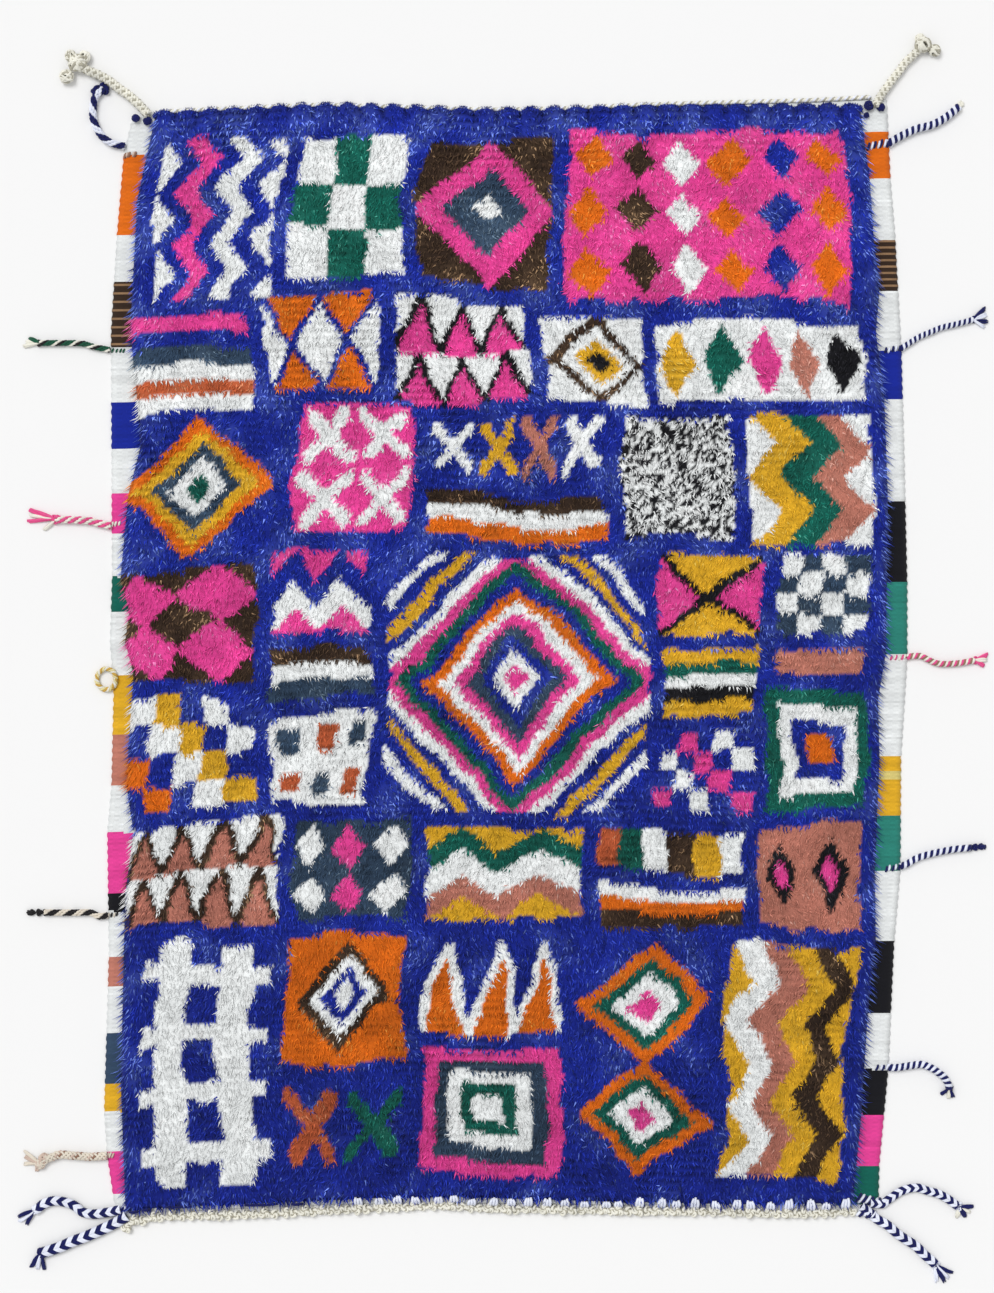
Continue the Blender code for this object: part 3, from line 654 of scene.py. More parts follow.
def abrash_and_lower_darkening(x, y):
    """Slow random changes of shade over a hand-dyed field; the pile also darkens towards its lower end."""
    return 1 + 0.18 * drift(x, y, 0.21, 2.6) + 0.12 * drift(x, y, 0.06, 5.1) + 0.20 * y / PILE_HALF_LENGTH


def patches_of_pale(x, y):
    """How much pale fibre shows, heather and painted sheen, in patches and more towards the upper end."""
    patches = 1.9 * drift(x, y, 0.13, 4.1) + 0.5 * drift(x, y, 0.04, 0.9)
    return np.clip(0.35 + patches + 0.6 * y / PILE_HALF_LENGTH, 0.03, 3)


def painted_shade_of_scallops(x, y):
    """Painted shade: the scallops are darker between them and at their rims."""
    rim = near(scallop_line(x) - y, SCALLOP_BAND) ** 2
    return (1 - SCALLOP_RIM_PAINTED_SHADE * rim) * (1 - NOTCH_PAINTED_SHADE * between_scallops(x, y))


def through_wool(shade, colour):
    """Lessens a shade in pale wool, which passes light on, so that its gaps stay light."""
    return 1 - (1 - shade) * (1 - PASSED_ON * colour.mean(axis=1))


def body_colours(x, y):
    """The colour of the pile between its tips: its yarn with some pale fibres, and painted shade."""
    yarn = yarn_of_knots(x / CM, y / CM)
    # Some pale fibres, heather and painted sheen, show in the body too.
    share = np.minimum(PALE_SHARES[yarn] * patches_of_pale(x, y) * PALE_IN_BODY, MOST_PALE)
    colour = DYES[yarn] + (PALER - DYES)[yarn] * share[:, None]
    # Painted shade: the body is darker under the locks, in its furrows and round the scallops; it also takes
    # the abrash and the darkening of the lower end.
    light = BODY_PAINTED_LIGHT * abrash_and_lower_darkening(x, y) * (1 - FURROW_PAINTED_SHADE * furrows(x, y)) * painted_shade_of_scallops(x, y)
    # Painted shade: the body darkens towards its rims, where it falls away.
    light *= 1 - RIM_PAINTED_SHADE * near(distance_to_rim(x, y), RIM_BAND / 2)
    return colour * through_wool(light, DYES[yarn])[:, None]


def form_pile():
    deselect_all()
    columns = SCALLOPS * SCALLOP_CELLS
    bpy.ops.mesh.primitive_grid_add(x_subdivisions=columns, y_subdivisions=2 * ROWS, size=1.0)
    pile = bpy.context.object
    pile.name = "pile_body"
    x, y = straight_place(*(vectors_of(pile.data.vertices, "co")[:, :2].T + 0.5))
    real_x, real_y = pile_place(x, y)
    move_points(pile.data, np.column_stack((real_x, real_y, pile_height(x, y))))
    paint(pile.data, "POINT", body_colours(x, y))
    bpy.ops.object.mode_set(mode="EDIT")
    bpy.ops.mesh.select_mode(type="EDGE")
    bpy.ops.mesh.select_all(action="DESELECT")
    bpy.ops.mesh.select_non_manifold()
    bpy.ops.mesh.extrude_edges_move()
    bpy.ops.transform.resize(value=(1.0, 1.0, 0.0), center_override=(0.0, 0.0, GROUND_THICK - MM))
    bpy.ops.mesh.edge_face_add()
    bpy.ops.object.mode_set(mode="OBJECT")
    pile.data.materials.append(woven_material("pile_wool", unevenness=0.7, fibres=480.0, nap=1.4 * MM))
    bpy.ops.object.shade_smooth()
    return pile


pile_body = form_pile()
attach(pile_body, "root")


# The tips of the pile.
# The cut ends of the wool part into small locks, several to a knot. They lean down the rug and hang over
# its sides and its end. Each yarn's locks are a piece, and the blue ones are parted into three.

KNOTS_ACROSS = round(2 * PILE_HALF_WIDTH / KNOT_WIDTH)
LOCKS_PER_KNOT = 4
LOCK_SEED = 21
LOCK_LENGTH = 14 * MM
LOCK_WIDTH = 4.2 * MM
LOCK_SINK = 2.6 * MM
LOCK_SCATTER = (0.55 * KNOT_WIDTH, 0.40 * ROW_PITCH)
SWAY_SPREAD = 0.45
LEAN = math.radians(58)
LEAN_SPREAD = 0.2
RIM_LEAN = math.radians(72)
FLATTEST_LEAN = math.radians(84)
END_LEAN_LOSS = 0.7
SIDE_PULL = 1.2
RIM_GROWTH = 0.4
SIDE_RIM = 26 * MM
END_RIM = 20 * MM
END_SHORTENING = 0.45
FOOT_GROWTH = 0.4
SIDE_THINNING = 0.55
SIDE_PAINTED_SHEEN = 2.6
# Painted shade of the locks in the furrows, and how far up the rug from a furrow it falls.
LOCK_FURROW_PAINTED_SHADE = 0.75 * FURROW_PAINTED_SHADE
LOCK_FURROW_SHIFT = 2 * MM
SCALLOP_LOCKS = 150
SCALLOP_LOCK = 7 * MM
SCALLOP_TURN = 0.88
SCALLOP_LEAN = (math.radians(86), math.radians(52))
LOCK_LIFT = 0.62
PALE_LOCK_LIFT = 0.6
# Painted shade and light along a lock: darker at its foot, among the others, and lighter at its tip.
ROOT_PAINTED_SHADE = 0.74
TIP_PAINTED_LIGHT = 1.16
BLUE_PARTS = (-0.4, 0.3)
BAKE_MAP = "OFBake"
rng = np.random.default_rng(LOCK_SEED)


def lock_material(yarn):
    """Cut wool of one yarn, with paler locks and shades in it. Pale wool lets more light through."""
    lift = LOCK_LIFT + (1 - LOCK_LIFT) * PALE_LOCK_LIFT * WOOL[yarn].mean()
    material, spun = wool_material("locks_" + yarn, unevenness=0.3, fibres=500.0, nap=0.4 * MM, lift=lift)
    tree = material.node_tree
    # The pale locks are partly heather and partly painted sheen; the shade attribute holds random tone and
    # painted shade.
    heather_and_sheen = tree.nodes.new("ShaderNodeMix")
    heather_and_sheen.data_type = "RGBA"
    set_inputs(tree, heather_and_sheen, {
        "Factor": attribute(tree, "paleness")["Fac"],
        "A": (*WOOL[yarn], 1.0),
        "B": (*HEATHERS_AND_SHEEN[yarn].paler, 1.0),
    })
    shade = attribute(tree, "shade")["Fac"]
    shaded = add_node(tree, "ShaderNodeVectorMath", {0: heather_and_sheen.outputs["Result"], "Scale": shade}, "SCALE")
    set_inputs(tree, spun, {"Colour": shaded.outputs[0]})
    return material


def model_lock():
    """One lock of unit size, a slim spike with three sides, as its points and its triangles."""
    deselect_all()
    bpy.ops.mesh.primitive_cone_add(vertices=3, radius1=0.5, radius2=0.0, depth=1.0, location=(0, 0, 0.5))
    lock = bpy.context.object
    bpy.ops.object.transform_apply(location=True)
    points = vectors_of(lock.data.vertices, "co")
    triangles = np.array([list(face.vertices) for face in lock.data.polygons])
    bpy.data.objects.remove(lock)
    return points, triangles


LOCK_POINTS, LOCK_TRIANGLES = model_lock()
# On the bake map each lock has a cell, its tip in the middle, its sides around it and its foot in a corner.
CELL_FEET = ((0.10, 0.30), (0.95, 0.30), (0.52, 0.98))
CELL_TIP = (0.52, 0.52)
CELL_CORNER = ((0.05, 0.02), (0.35, 0.02), (0.05, 0.20))

Locks = namedtuple("Locks", "x y z heading lean length width shade paleness")


def chosen(locks, mask):
    return Locks(*(values[mask] for values in locks))


def map_locks(mesh, count):
    side = math.ceil(math.sqrt(count))
    tip = int(np.argmax(LOCK_POINTS[:, 2]))
    feet = [number for number in range(len(LOCK_POINTS)) if number != tip]
    places = {tip: CELL_TIP, **dict(zip(feet, CELL_FEET))}
    cell = np.array([
        [places[point] for point in triangle] if tip in triangle else CELL_CORNER
        for triangle in LOCK_TRIANGLES
    ])
    index = np.arange(count)
    origin = np.column_stack((index % side, index // side))
    cells = (origin[:, None, None, :] + cell[None]) / side
    mesh.uv_layers.new(name=BAKE_MAP).uv.foreach_set("vector", cells.ravel())


def plant(name, yarn, locks):
    """Copies the lock to every place that a yarn has, as one mesh."""
    count = len(locks.x)
    axis = np.column_stack((
        np.sin(locks.lean) * np.cos(locks.heading),
        np.sin(locks.lean) * np.sin(locks.heading),
        np.cos(locks.lean),
    ))
    side = np.column_stack((-np.sin(locks.heading), np.cos(locks.heading), np.zeros(count)))
    front = np.cross(side, axis)
    foot = np.column_stack((locks.x, locks.y, locks.z))
    across, deep, up = LOCK_POINTS.T[:, None, :, None]
    width, length = locks.width[:, None, None], locks.length[:, None, None]
    points = (
        foot[:, None] + side[:, None] * (across * width) + front[:, None] * (deep * width)
        + axis[:, None] * (up * length)
    )
    corners = (np.arange(count)[:, None, None] * len(LOCK_POINTS) + LOCK_TRIANGLES[None]).ravel()
    mesh = bpy.data.meshes.new(name)
    mesh.vertices.add(count * len(LOCK_POINTS))
    mesh.vertices.foreach_set("co", points.ravel())
    mesh.loops.add(len(corners))
    mesh.loops.foreach_set("vertex_index", corners)
    mesh.polygons.add(len(corners) // 3)
    mesh.polygons.foreach_set("loop_start", np.arange(0, len(corners), 3))
    mesh.update(calc_edges=True)
    # Painted shade and light: each lock darkens towards its foot and lightens towards its tip, less so in
    # pale wool.
    depth = through_wool(np.where(LOCK_POINTS[:, 2] > 0.5, TIP_PAINTED_LIGHT, ROOT_PAINTED_SHADE), WOOL[yarn][None])
    shade = mesh.attributes.new("shade", "FLOAT", "POINT")
    shade.data.foreach_set("value", (locks.shade[:, None] * depth[None]).ravel())
    pale = mesh.attributes.new("paleness", "FLOAT", "POINT")
    pale.data.foreach_set("value", np.repeat(locks.paleness, len(LOCK_POINTS)))
    map_locks(mesh, count)
    mesh.materials.append(lock_material(yarn))
    piece = bpy.data.objects.new(name, mesh)
    bpy.context.collection.objects.link(piece)
    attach(piece, "root")


def field_locks():
    """The locks of the whole knotted field, and the number of the yarn of each."""
    column, row = np.meshgrid(np.arange(KNOTS_ACROSS), np.arange(ROWS))
    column = np.repeat(column.ravel(), LOCKS_PER_KNOT)
    row = np.repeat(row.ravel(), LOCKS_PER_KNOT)
    knot_x, knot_y = straight_place((column + 0.5) / KNOTS_ACROSS, (row + 0.5) / ROWS)
    yarn = yarn_of_knots(knot_x / CM, knot_y / CM)
    count = len(yarn)
    scatter_x, scatter_y = LOCK_SCATTER
    x = knot_x + scatter_x * rng.uniform(-1, 1, count)
    y = knot_y + scatter_y * rng.uniform(-1, 1, count)
    side_rim = near(PILE_HALF_WIDTH - SIDE_INSET - np.abs(x), SIDE_RIM)
    top_rim = near(PILE_HALF_LENGTH - y, END_RIM)
    foot_rim = near(y + PILE_HALF_LENGTH, END_RIM)
    sway = 0.5 * drift(x, y, 0.22, 0.5) + 0.4 * drift(x, y, 0.07, 1.4) + rng.normal(0, SWAY_SPREAD, count)
    lean_x = np.sin(sway) * (1 - side_rim) + SIDE_PULL * side_rim * np.sign(x)
    lean_y = -np.cos(sway)
    lean = (LEAN + (RIM_LEAN - LEAN) * side_rim) * (1 - END_LEAN_LOSS * top_rim)
    lean = np.minimum(lean + rng.normal(0, LEAN_SPREAD, count), FLATTEST_LEAN)
    z = np.maximum(pile_height(x, y) - LOCK_SINK, GROUND_THICK)
    real_x, real_y = pile_place(x, y)
    # Pale fibres: heather, with more near the sides as painted sheen where the fuzz catches the light.
    pale = rng.uniform(0, 1, count) < PALE_SHARES[yarn] * (patches_of_pale(x, y) + SIDE_PAINTED_SHEEN * side_rim)
    # Painted shade: the locks darken where a furrow opens, and round the scallops.
    open_furrow = furrows(x, y - LOCK_FURROW_SHIFT)
    shade = abrash_and_lower_darkening(x, y) * (1 - LOCK_FURROW_PAINTED_SHADE * open_furrow) * painted_shade_of_scallops(x, y)
    shade = through_wool(shade, DYES[yarn])
    growth = (1 + RIM_GROWTH * side_rim) * (1 - END_SHORTENING * top_rim) * (1 + FOOT_GROWTH * foot_rim)
    locks = Locks(
        real_x, real_y, z, np.arctan2(lean_y, lean_x), lean,
        LOCK_LENGTH * rng.uniform(0.75, 1.25, count) * growth,
        LOCK_WIDTH * rng.uniform(0.7, 1.3, count) * (1 - SIDE_THINNING * side_rim),
        shade * (1 + UNEVENNESS[yarn] * rng.normal(0, 1, count)).clip(0.45, 1.7),
        np.where(pale, rng.uniform(0.4, 1.0, count), rng.uniform(0, 0.12, count)),
    )
    return locks, yarn


def scallop_locks():
    """Blue locks that stand out round the edge of each scallop."""
    turn = SCALLOP_TURN * rng.uniform(-1, 1, SCALLOPS * SCALLOP_LOCKS)
    scallop = np.repeat(np.arange(SCALLOPS), SCALLOP_LOCKS)
    count = len(scallop)
    pitch = 2 * PILE_HALF_WIDTH / SCALLOPS
    height = rng.uniform(0, 1, count)
    x = -PILE_HALF_WIDTH + pitch * (scallop + 0.5 + 0.47 * turn)
    y = scallop_line(x) - SCALLOP_LOCK * (0.5 + 1.2 * height)
    real_x, real_y = pile_place(x, y)
    low_lean, high_lean = SCALLOP_LEAN
    return Locks(
        real_x, real_y, RIM_HEIGHT * (0.5 + 1.3 * height), math.pi / 2 - 1.1 * turn ** 3,
        low_lean + (high_lean - low_lean) * height + rng.normal(0, 0.08, count),
        SCALLOP_LOCK * rng.uniform(0.9, 1.3, count),
        LOCK_WIDTH * rng.uniform(0.9, 1.4, count),
        # Painted shade: low locks and those at the ends of a scallop are darker.
        (0.36 + 0.5 * height) * (1 - 0.4 * turn ** 4) * (1 + 0.15 * rng.normal(0, 1, count)).clip(0.5, 1.6),
        # A few pale locks, heather and painted sheen.
        np.where(rng.uniform(0, 1, count) < 0.08, 0.5, 0.05),
    )


def plant_pile():
    locks, yarn = field_locks()
    for number, name in enumerate(YARNS):
        if name != "blue" and (yarn == number).any():
            plant("locks_" + name, name, chosen(locks, yarn == number))
    blue = chosen(locks, yarn == YARNS.index("blue"))
    low, high = BLUE_PARTS
    plant("locks_blue_upper", "blue", chosen(blue, blue.y >= high))
    plant("locks_blue_middle", "blue", chosen(blue, (blue.y < high) & (blue.y >= low)))
    plant("locks_blue_lower", "blue", chosen(blue, blue.y < low))
    plant("locks_scallops", "blue", scallop_locks())


plant_pile()
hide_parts("rug_body")


# The cord along the scalloped end.
# The warp ends are twisted into a three-ply ivory cord that lies behind the scallops. It shows past them
# towards the right, where the cord comes out further.

END_GAP = 1.4 * MM
TOP_CORD_RADIUS = 5 * MM
TOP_CORD_ENDS = (-0.665, 0.690)
TOP_CORD_YARNS = ("white", "ivory", "grey")
TOP_CORD_PITCH = 15 * MM
TOP_CORD_FLATNESS = 0.85
CORD_STEP = 4 * MM
THREAD_SHARE = 0.52
Ply = namedtuple("Ply", "line radius yarn")


def along_line(line):
    """How far along a line each of its points is."""
    return np.concatenate(([0.0], np.cumsum(np.linalg.norm(np.diff(line, axis=0), axis=1))))


def read_line(line, lengths, places):
    """The points of a line at places along it, or what else it has a row for at each point."""
    return np.column_stack([np.interp(places, lengths, column) for column in line.T])


def smooth_line(points, step):
    """A smooth curve through a route's own points, read about a step apart."""
    points = np.asarray(points, float)
    ends = np.vstack((2 * points[0] - points[1], points, 2 * points[-1] - points[-2]))
    t = np.linspace(0, 1, 12, endpoint=False)[:, None]
    fine = [
        start + (after - before) * 0.5 * t + (before - 2.5 * start + 2 * after - 0.5 * last) * t * t
        + (1.5 * start - 0.5 * before - 1.5 * after + 0.5 * last) * t ** 3
        for before, start, after, last in zip(ends, ends[1:], ends[2:], ends[3:])
    ]
    fine = np.vstack((*fine, points[-1:]))
    lengths = along_line(fine)
    return read_line(fine, lengths, np.linspace(0, lengths[-1], max(3, round(lengths[-1] / step) + 1)))


def sides_of(line):
    """The directions level across and up from a line, at each of its points."""
    forward = np.gradient(line, axis=0)
    forward /= np.linalg.norm(forward, axis=1)[:, None]
    across = np.cross(forward, (0.0, 0.0, 1.0))
    across /= np.linalg.norm(across, axis=1)[:, None]
    return across, np.cross(across, forward)


def beside(line, sides, out, rise):
    """A line as far out and up from another one as asked at each of its points."""
    across, up = sides
    return line + across * out[:, None] + up * rise[:, None]


def wind(line, radius, pitch, phase, flatness=1.0):
    """A line that winds round another one, a turn for each pitch."""
    turn = 2 * math.pi * (along_line(line) / pitch + phase)
    return beside(line, sides_of(line), radius * np.cos(turn), flatness * radius * np.sin(turn))


def yarn_material(yarn, colour):
    material, spun = wool_material("yarn_" + yarn, unevenness=0.5, fibres=900.0, nap=0.5 * MM)
    spun.inputs["Colour"].default_value = (*colour, 1.0)
    return material


YARN_MATERIALS = {
    yarn: yarn_material(yarn, dyed(*shade))
    for yarn, shade in (
        ("ivory", (232, 230, 218)), ("white", (228, 232, 246)), ("grey", (174, 170, 154)),
        ("navy", (20, 26, 86)), ("green", (28, 84, 62)), ("black", (34, 32, 34)), ("cream", (222, 213, 198)),
        ("pink", (226, 84, 142)), ("beige", (204, 182, 168)), ("brown", (146, 112, 94)),
        ("straw", (228, 216, 160)), ("gold", (206, 166, 76)),
    )
}


def lay_yarns(name, plies):
    """Lays every ply as a round yarn and joins them into one piece, a material for each yarn."""
    made = []
    for yarn in sorted({ply.yarn for ply in plies}):
        curve = bpy.data.curves.new(name, "CURVE")
        curve.dimensions = "3D"
        curve.bevel_depth = 1.0
        curve.bevel_resolution = 1
        curve.use_fill_caps = True
        for ply in plies:
            if ply.yarn != yarn:
                continue
            spline = curve.splines.new("POLY")
            spline.points.add(len(ply.line) - 1)
            spline.points.foreach_set("co", np.column_stack((ply.line, np.ones(len(ply.line)))).ravel())
            spline.points.foreach_set("radius", np.broadcast_to(ply.radius, len(ply.line)).copy())
        curve.materials.append(YARN_MATERIALS[yarn])
        length = bpy.data.objects.new(name, curve)
        bpy.context.collection.objects.link(length)
        made.append(length)
    deselect_all()
    for length in made:
        length.select_set(True)
    bpy.context.view_layer.objects.active = made[0]
    bpy.ops.object.convert(target="MESH")
    if len(made) > 1:
        bpy.ops.object.join()
    piece = bpy.context.object
    piece.name = name
    bpy.ops.object.mode_set(mode="EDIT")
    bpy.ops.mesh.select_all(action="SELECT")
    bpy.ops.mesh.remove_doubles(threshold=0.005 * MM)
    bpy.ops.object.mode_set(mode="OBJECT")
    bpy.ops.object.shade_smooth()
    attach(piece, "root")
    return piece


def twist(line, radius, pitch, yarns, flatness=1.0):
    """Plies twisted into a cord round a line, each of them two threads."""
    spread = radius * (0.5 if len(yarns) < 4 else 0.58)
    ply_radius = radius - spread
    plies = []
    for number, yarn in enumerate(yarns):
        ply = wind(line, spread, pitch, number / len(yarns), flatness)
        for thread in (0.0, 0.5):
            plies.append(Ply(wind(ply, 0.45 * ply_radius, -0.4 * pitch, thread), 0.66 * ply_radius, yarn))
    return plies


def along_end(rows, ends, outward, radius):
    """A cord's middle line beside an end of the weave, as far out as its radius asks."""
    places = sorted({*ends, *(x for x, _ in rows if ends[0] + 0.02 < x < ends[1] - 0.02)})
    out = outward * (radius + END_GAP)
    return smooth_line([(x, edge_at(rows, x) + out, radius) for x in places], CORD_STEP)


def plain_twist(line, radius, pitch, yarns, flatness=1.0):
    """Single threads twisted into a cord round a line."""
    spread = (1 - THREAD_SHARE) * radius
    return [
        Ply(wind(line, spread, pitch, number / len(yarns), flatness), THREAD_SHARE * radius, yarn)
        for number, yarn in enumerate(yarns)
    ]


top_line = along_end(GROUND_TOP, TOP_CORD_ENDS, 1.0, TOP_CORD_RADIUS)
top_plies = plain_twist(top_line, TOP_CORD_RADIUS, TOP_CORD_PITCH, TOP_CORD_YARNS, TOP_CORD_FLATNESS)
top_cord = lay_yarns("top_cord_plies", top_plies)
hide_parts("top_cord")


# The knotted cord along the lower end.
# The warp ends are gathered in bunches, and each bunch is tied in a knot against the last row of the pile.
# White stitches stand over the knots in small peaks.

BOTTOM_CORD_RADIUS = 10 * MM
BOTTOM_CORD_FLATNESS = 0.7
BOTTOM_CORD_ENDS = (-0.716, 0.664)
BOTTOM_CORD_SHIFT = 2.5 * MM
BOTTOM_CORE_RADIUS = 0.55 * BOTTOM_CORD_RADIUS
BOTTOM_CORE_PITCH = 30 * MM
BUNCH_YARNS = ("ivory", "grey", "ivory", "ivory")
CORNER_KNOT = (-0.722, -1.081)
CORNER_KNOT_RADIUS = 12 * MM
KNOT_SEED = 5
KNOT_PITCH = 35 * MM
KNOT_STEPS = 22
KNOT_THICKNESS = 0.20
PEAKS_FROM = -0.30
PEAK_HEIGHT = 25 * MM
PEAK_FOOT = 9 * MM
PEAK_YARN = 2.9 * MM
PILE_TOP_HEIGHT = 19 * MM


def tied(place, radius, yarn, turn=0.0, flatness=0.62):
    """The line of an overhand knot in a yarn, closed on itself."""
    t = np.linspace(0, 2 * math.pi, KNOT_STEPS)
    loop = np.column_stack((
        np.sin(t) + 2 * np.sin(2 * t), np.cos(t) - 2 * np.cos(2 * t), -1.6 * np.sin(3 * t),
    )) / 3
    thick = KNOT_THICKNESS * radius
    cos, sin = math.cos(turn), math.sin(turn)
    loop = loop @ np.array(((cos, sin, 0), (-sin, cos, 0), (0, 0, flatness))) * (radius - thick)
    return Ply(loop + (place[0], place[1], radius * flatness), thick, yarn)


def lump(place, radius, yarns, turn=0.0, flatness=0.62):
    """A fat knot of several yarns, one round another."""
    plies = []
    for number, yarn in enumerate(yarns):
        size = radius * (1 - 0.16 * number)
        plies.append(tied(place, size, yarn, turn + 0.7 * number, flatness * radius / size))
    return plies


def settle(plies, floor=0.0):
    """Moves plies up or down together until their lowest point is on the floor."""
    low = min((ply.line[:, 2] - ply.radius).min() for ply in plies)
    return [Ply(ply.line + (0.0, 0.0, floor - low), ply.radius, ply.yarn) for ply in plies]


def peak(x, y, height, draw):
    """A white stitch over a knot: three yarns side by side that come to a blunt point on the pile."""
    plies = []
    point = x + draw.normal(0, 1.5 * MM)
    for side in (-1, 0, 1):
        share = np.linspace(0, 1, 5)[:, None]
        foot = np.array((x + side * 5 * MM, y, PEAK_FOOT))
        tip = np.array((point + side * 3.6 * MM, y + height * draw.uniform(0.75, 1), PILE_TOP_HEIGHT))
        bow = np.array((side * 1.5 * MM, 0, 5 * MM)) * np.sin(math.pi * share)
        plies.append(Ply(foot + (tip - foot) * share + bow, PEAK_YARN * np.linspace(1.1, 0.8, 5), "white"))
    return plies


def knot_end_cord():
    draw = np.random.default_rng(KNOT_SEED)
    line = along_end(GROUND_BOTTOM, BOTTOM_CORD_ENDS, -1.0, BOTTOM_CORD_RADIUS)
    line[:, 2] = BOTTOM_CORD_RADIUS * BOTTOM_CORD_FLATNESS
    plies = plain_twist(line, BOTTOM_CORE_RADIUS, BOTTOM_CORE_PITCH, ("ivory", "ivory", "grey"))
    lengths = along_line(line)
    count = round(lengths[-1] / KNOT_PITCH)
    peaks = []
    for place in (np.arange(count) + 0.5) * lengths[-1] / count + draw.normal(0, 2 * MM, count):
        x, y, _ = read_line(line, lengths, [place])[0]
        y += BOTTOM_CORD_SHIFT
        size = BOTTOM_CORD_RADIUS * draw.uniform(1.15, 1.4)
        inner, outer = draw.uniform(0, 2, 2)
        plies += lump((x - 0.55 * size, y), size, BUNCH_YARNS, inner, 0.8)
        plies += lump((x + 0.80 * size, y - 1.5 * MM), 0.85 * size, ("ivory", "ivory", "grey"), outer, 0.8)
        if x > PEAKS_FROM:
            height = PEAK_HEIGHT * draw.uniform(0.45, 0.8) * (1 + 0.4 * x)
            peaks += peak(x + draw.uniform(-0.5, 0.3) * size, y + 0.5 * size, height, draw)
    plies += lump(CORNER_KNOT, CORNER_KNOT_RADIUS, BUNCH_YARNS, 0.4, 0.75)
    return settle(plies) + peaks


bottom_cord = lay_yarns("bottom_cord_knots", knot_end_cord())
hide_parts("bottom_knot_cord")


# The tassels.
# Sixteen lengths of twisted or plaited yarn are sewn to the corners and the side strips. Each ends in a
# knot and a brush of loose yarn. They are made of the yarns left over from the rug.

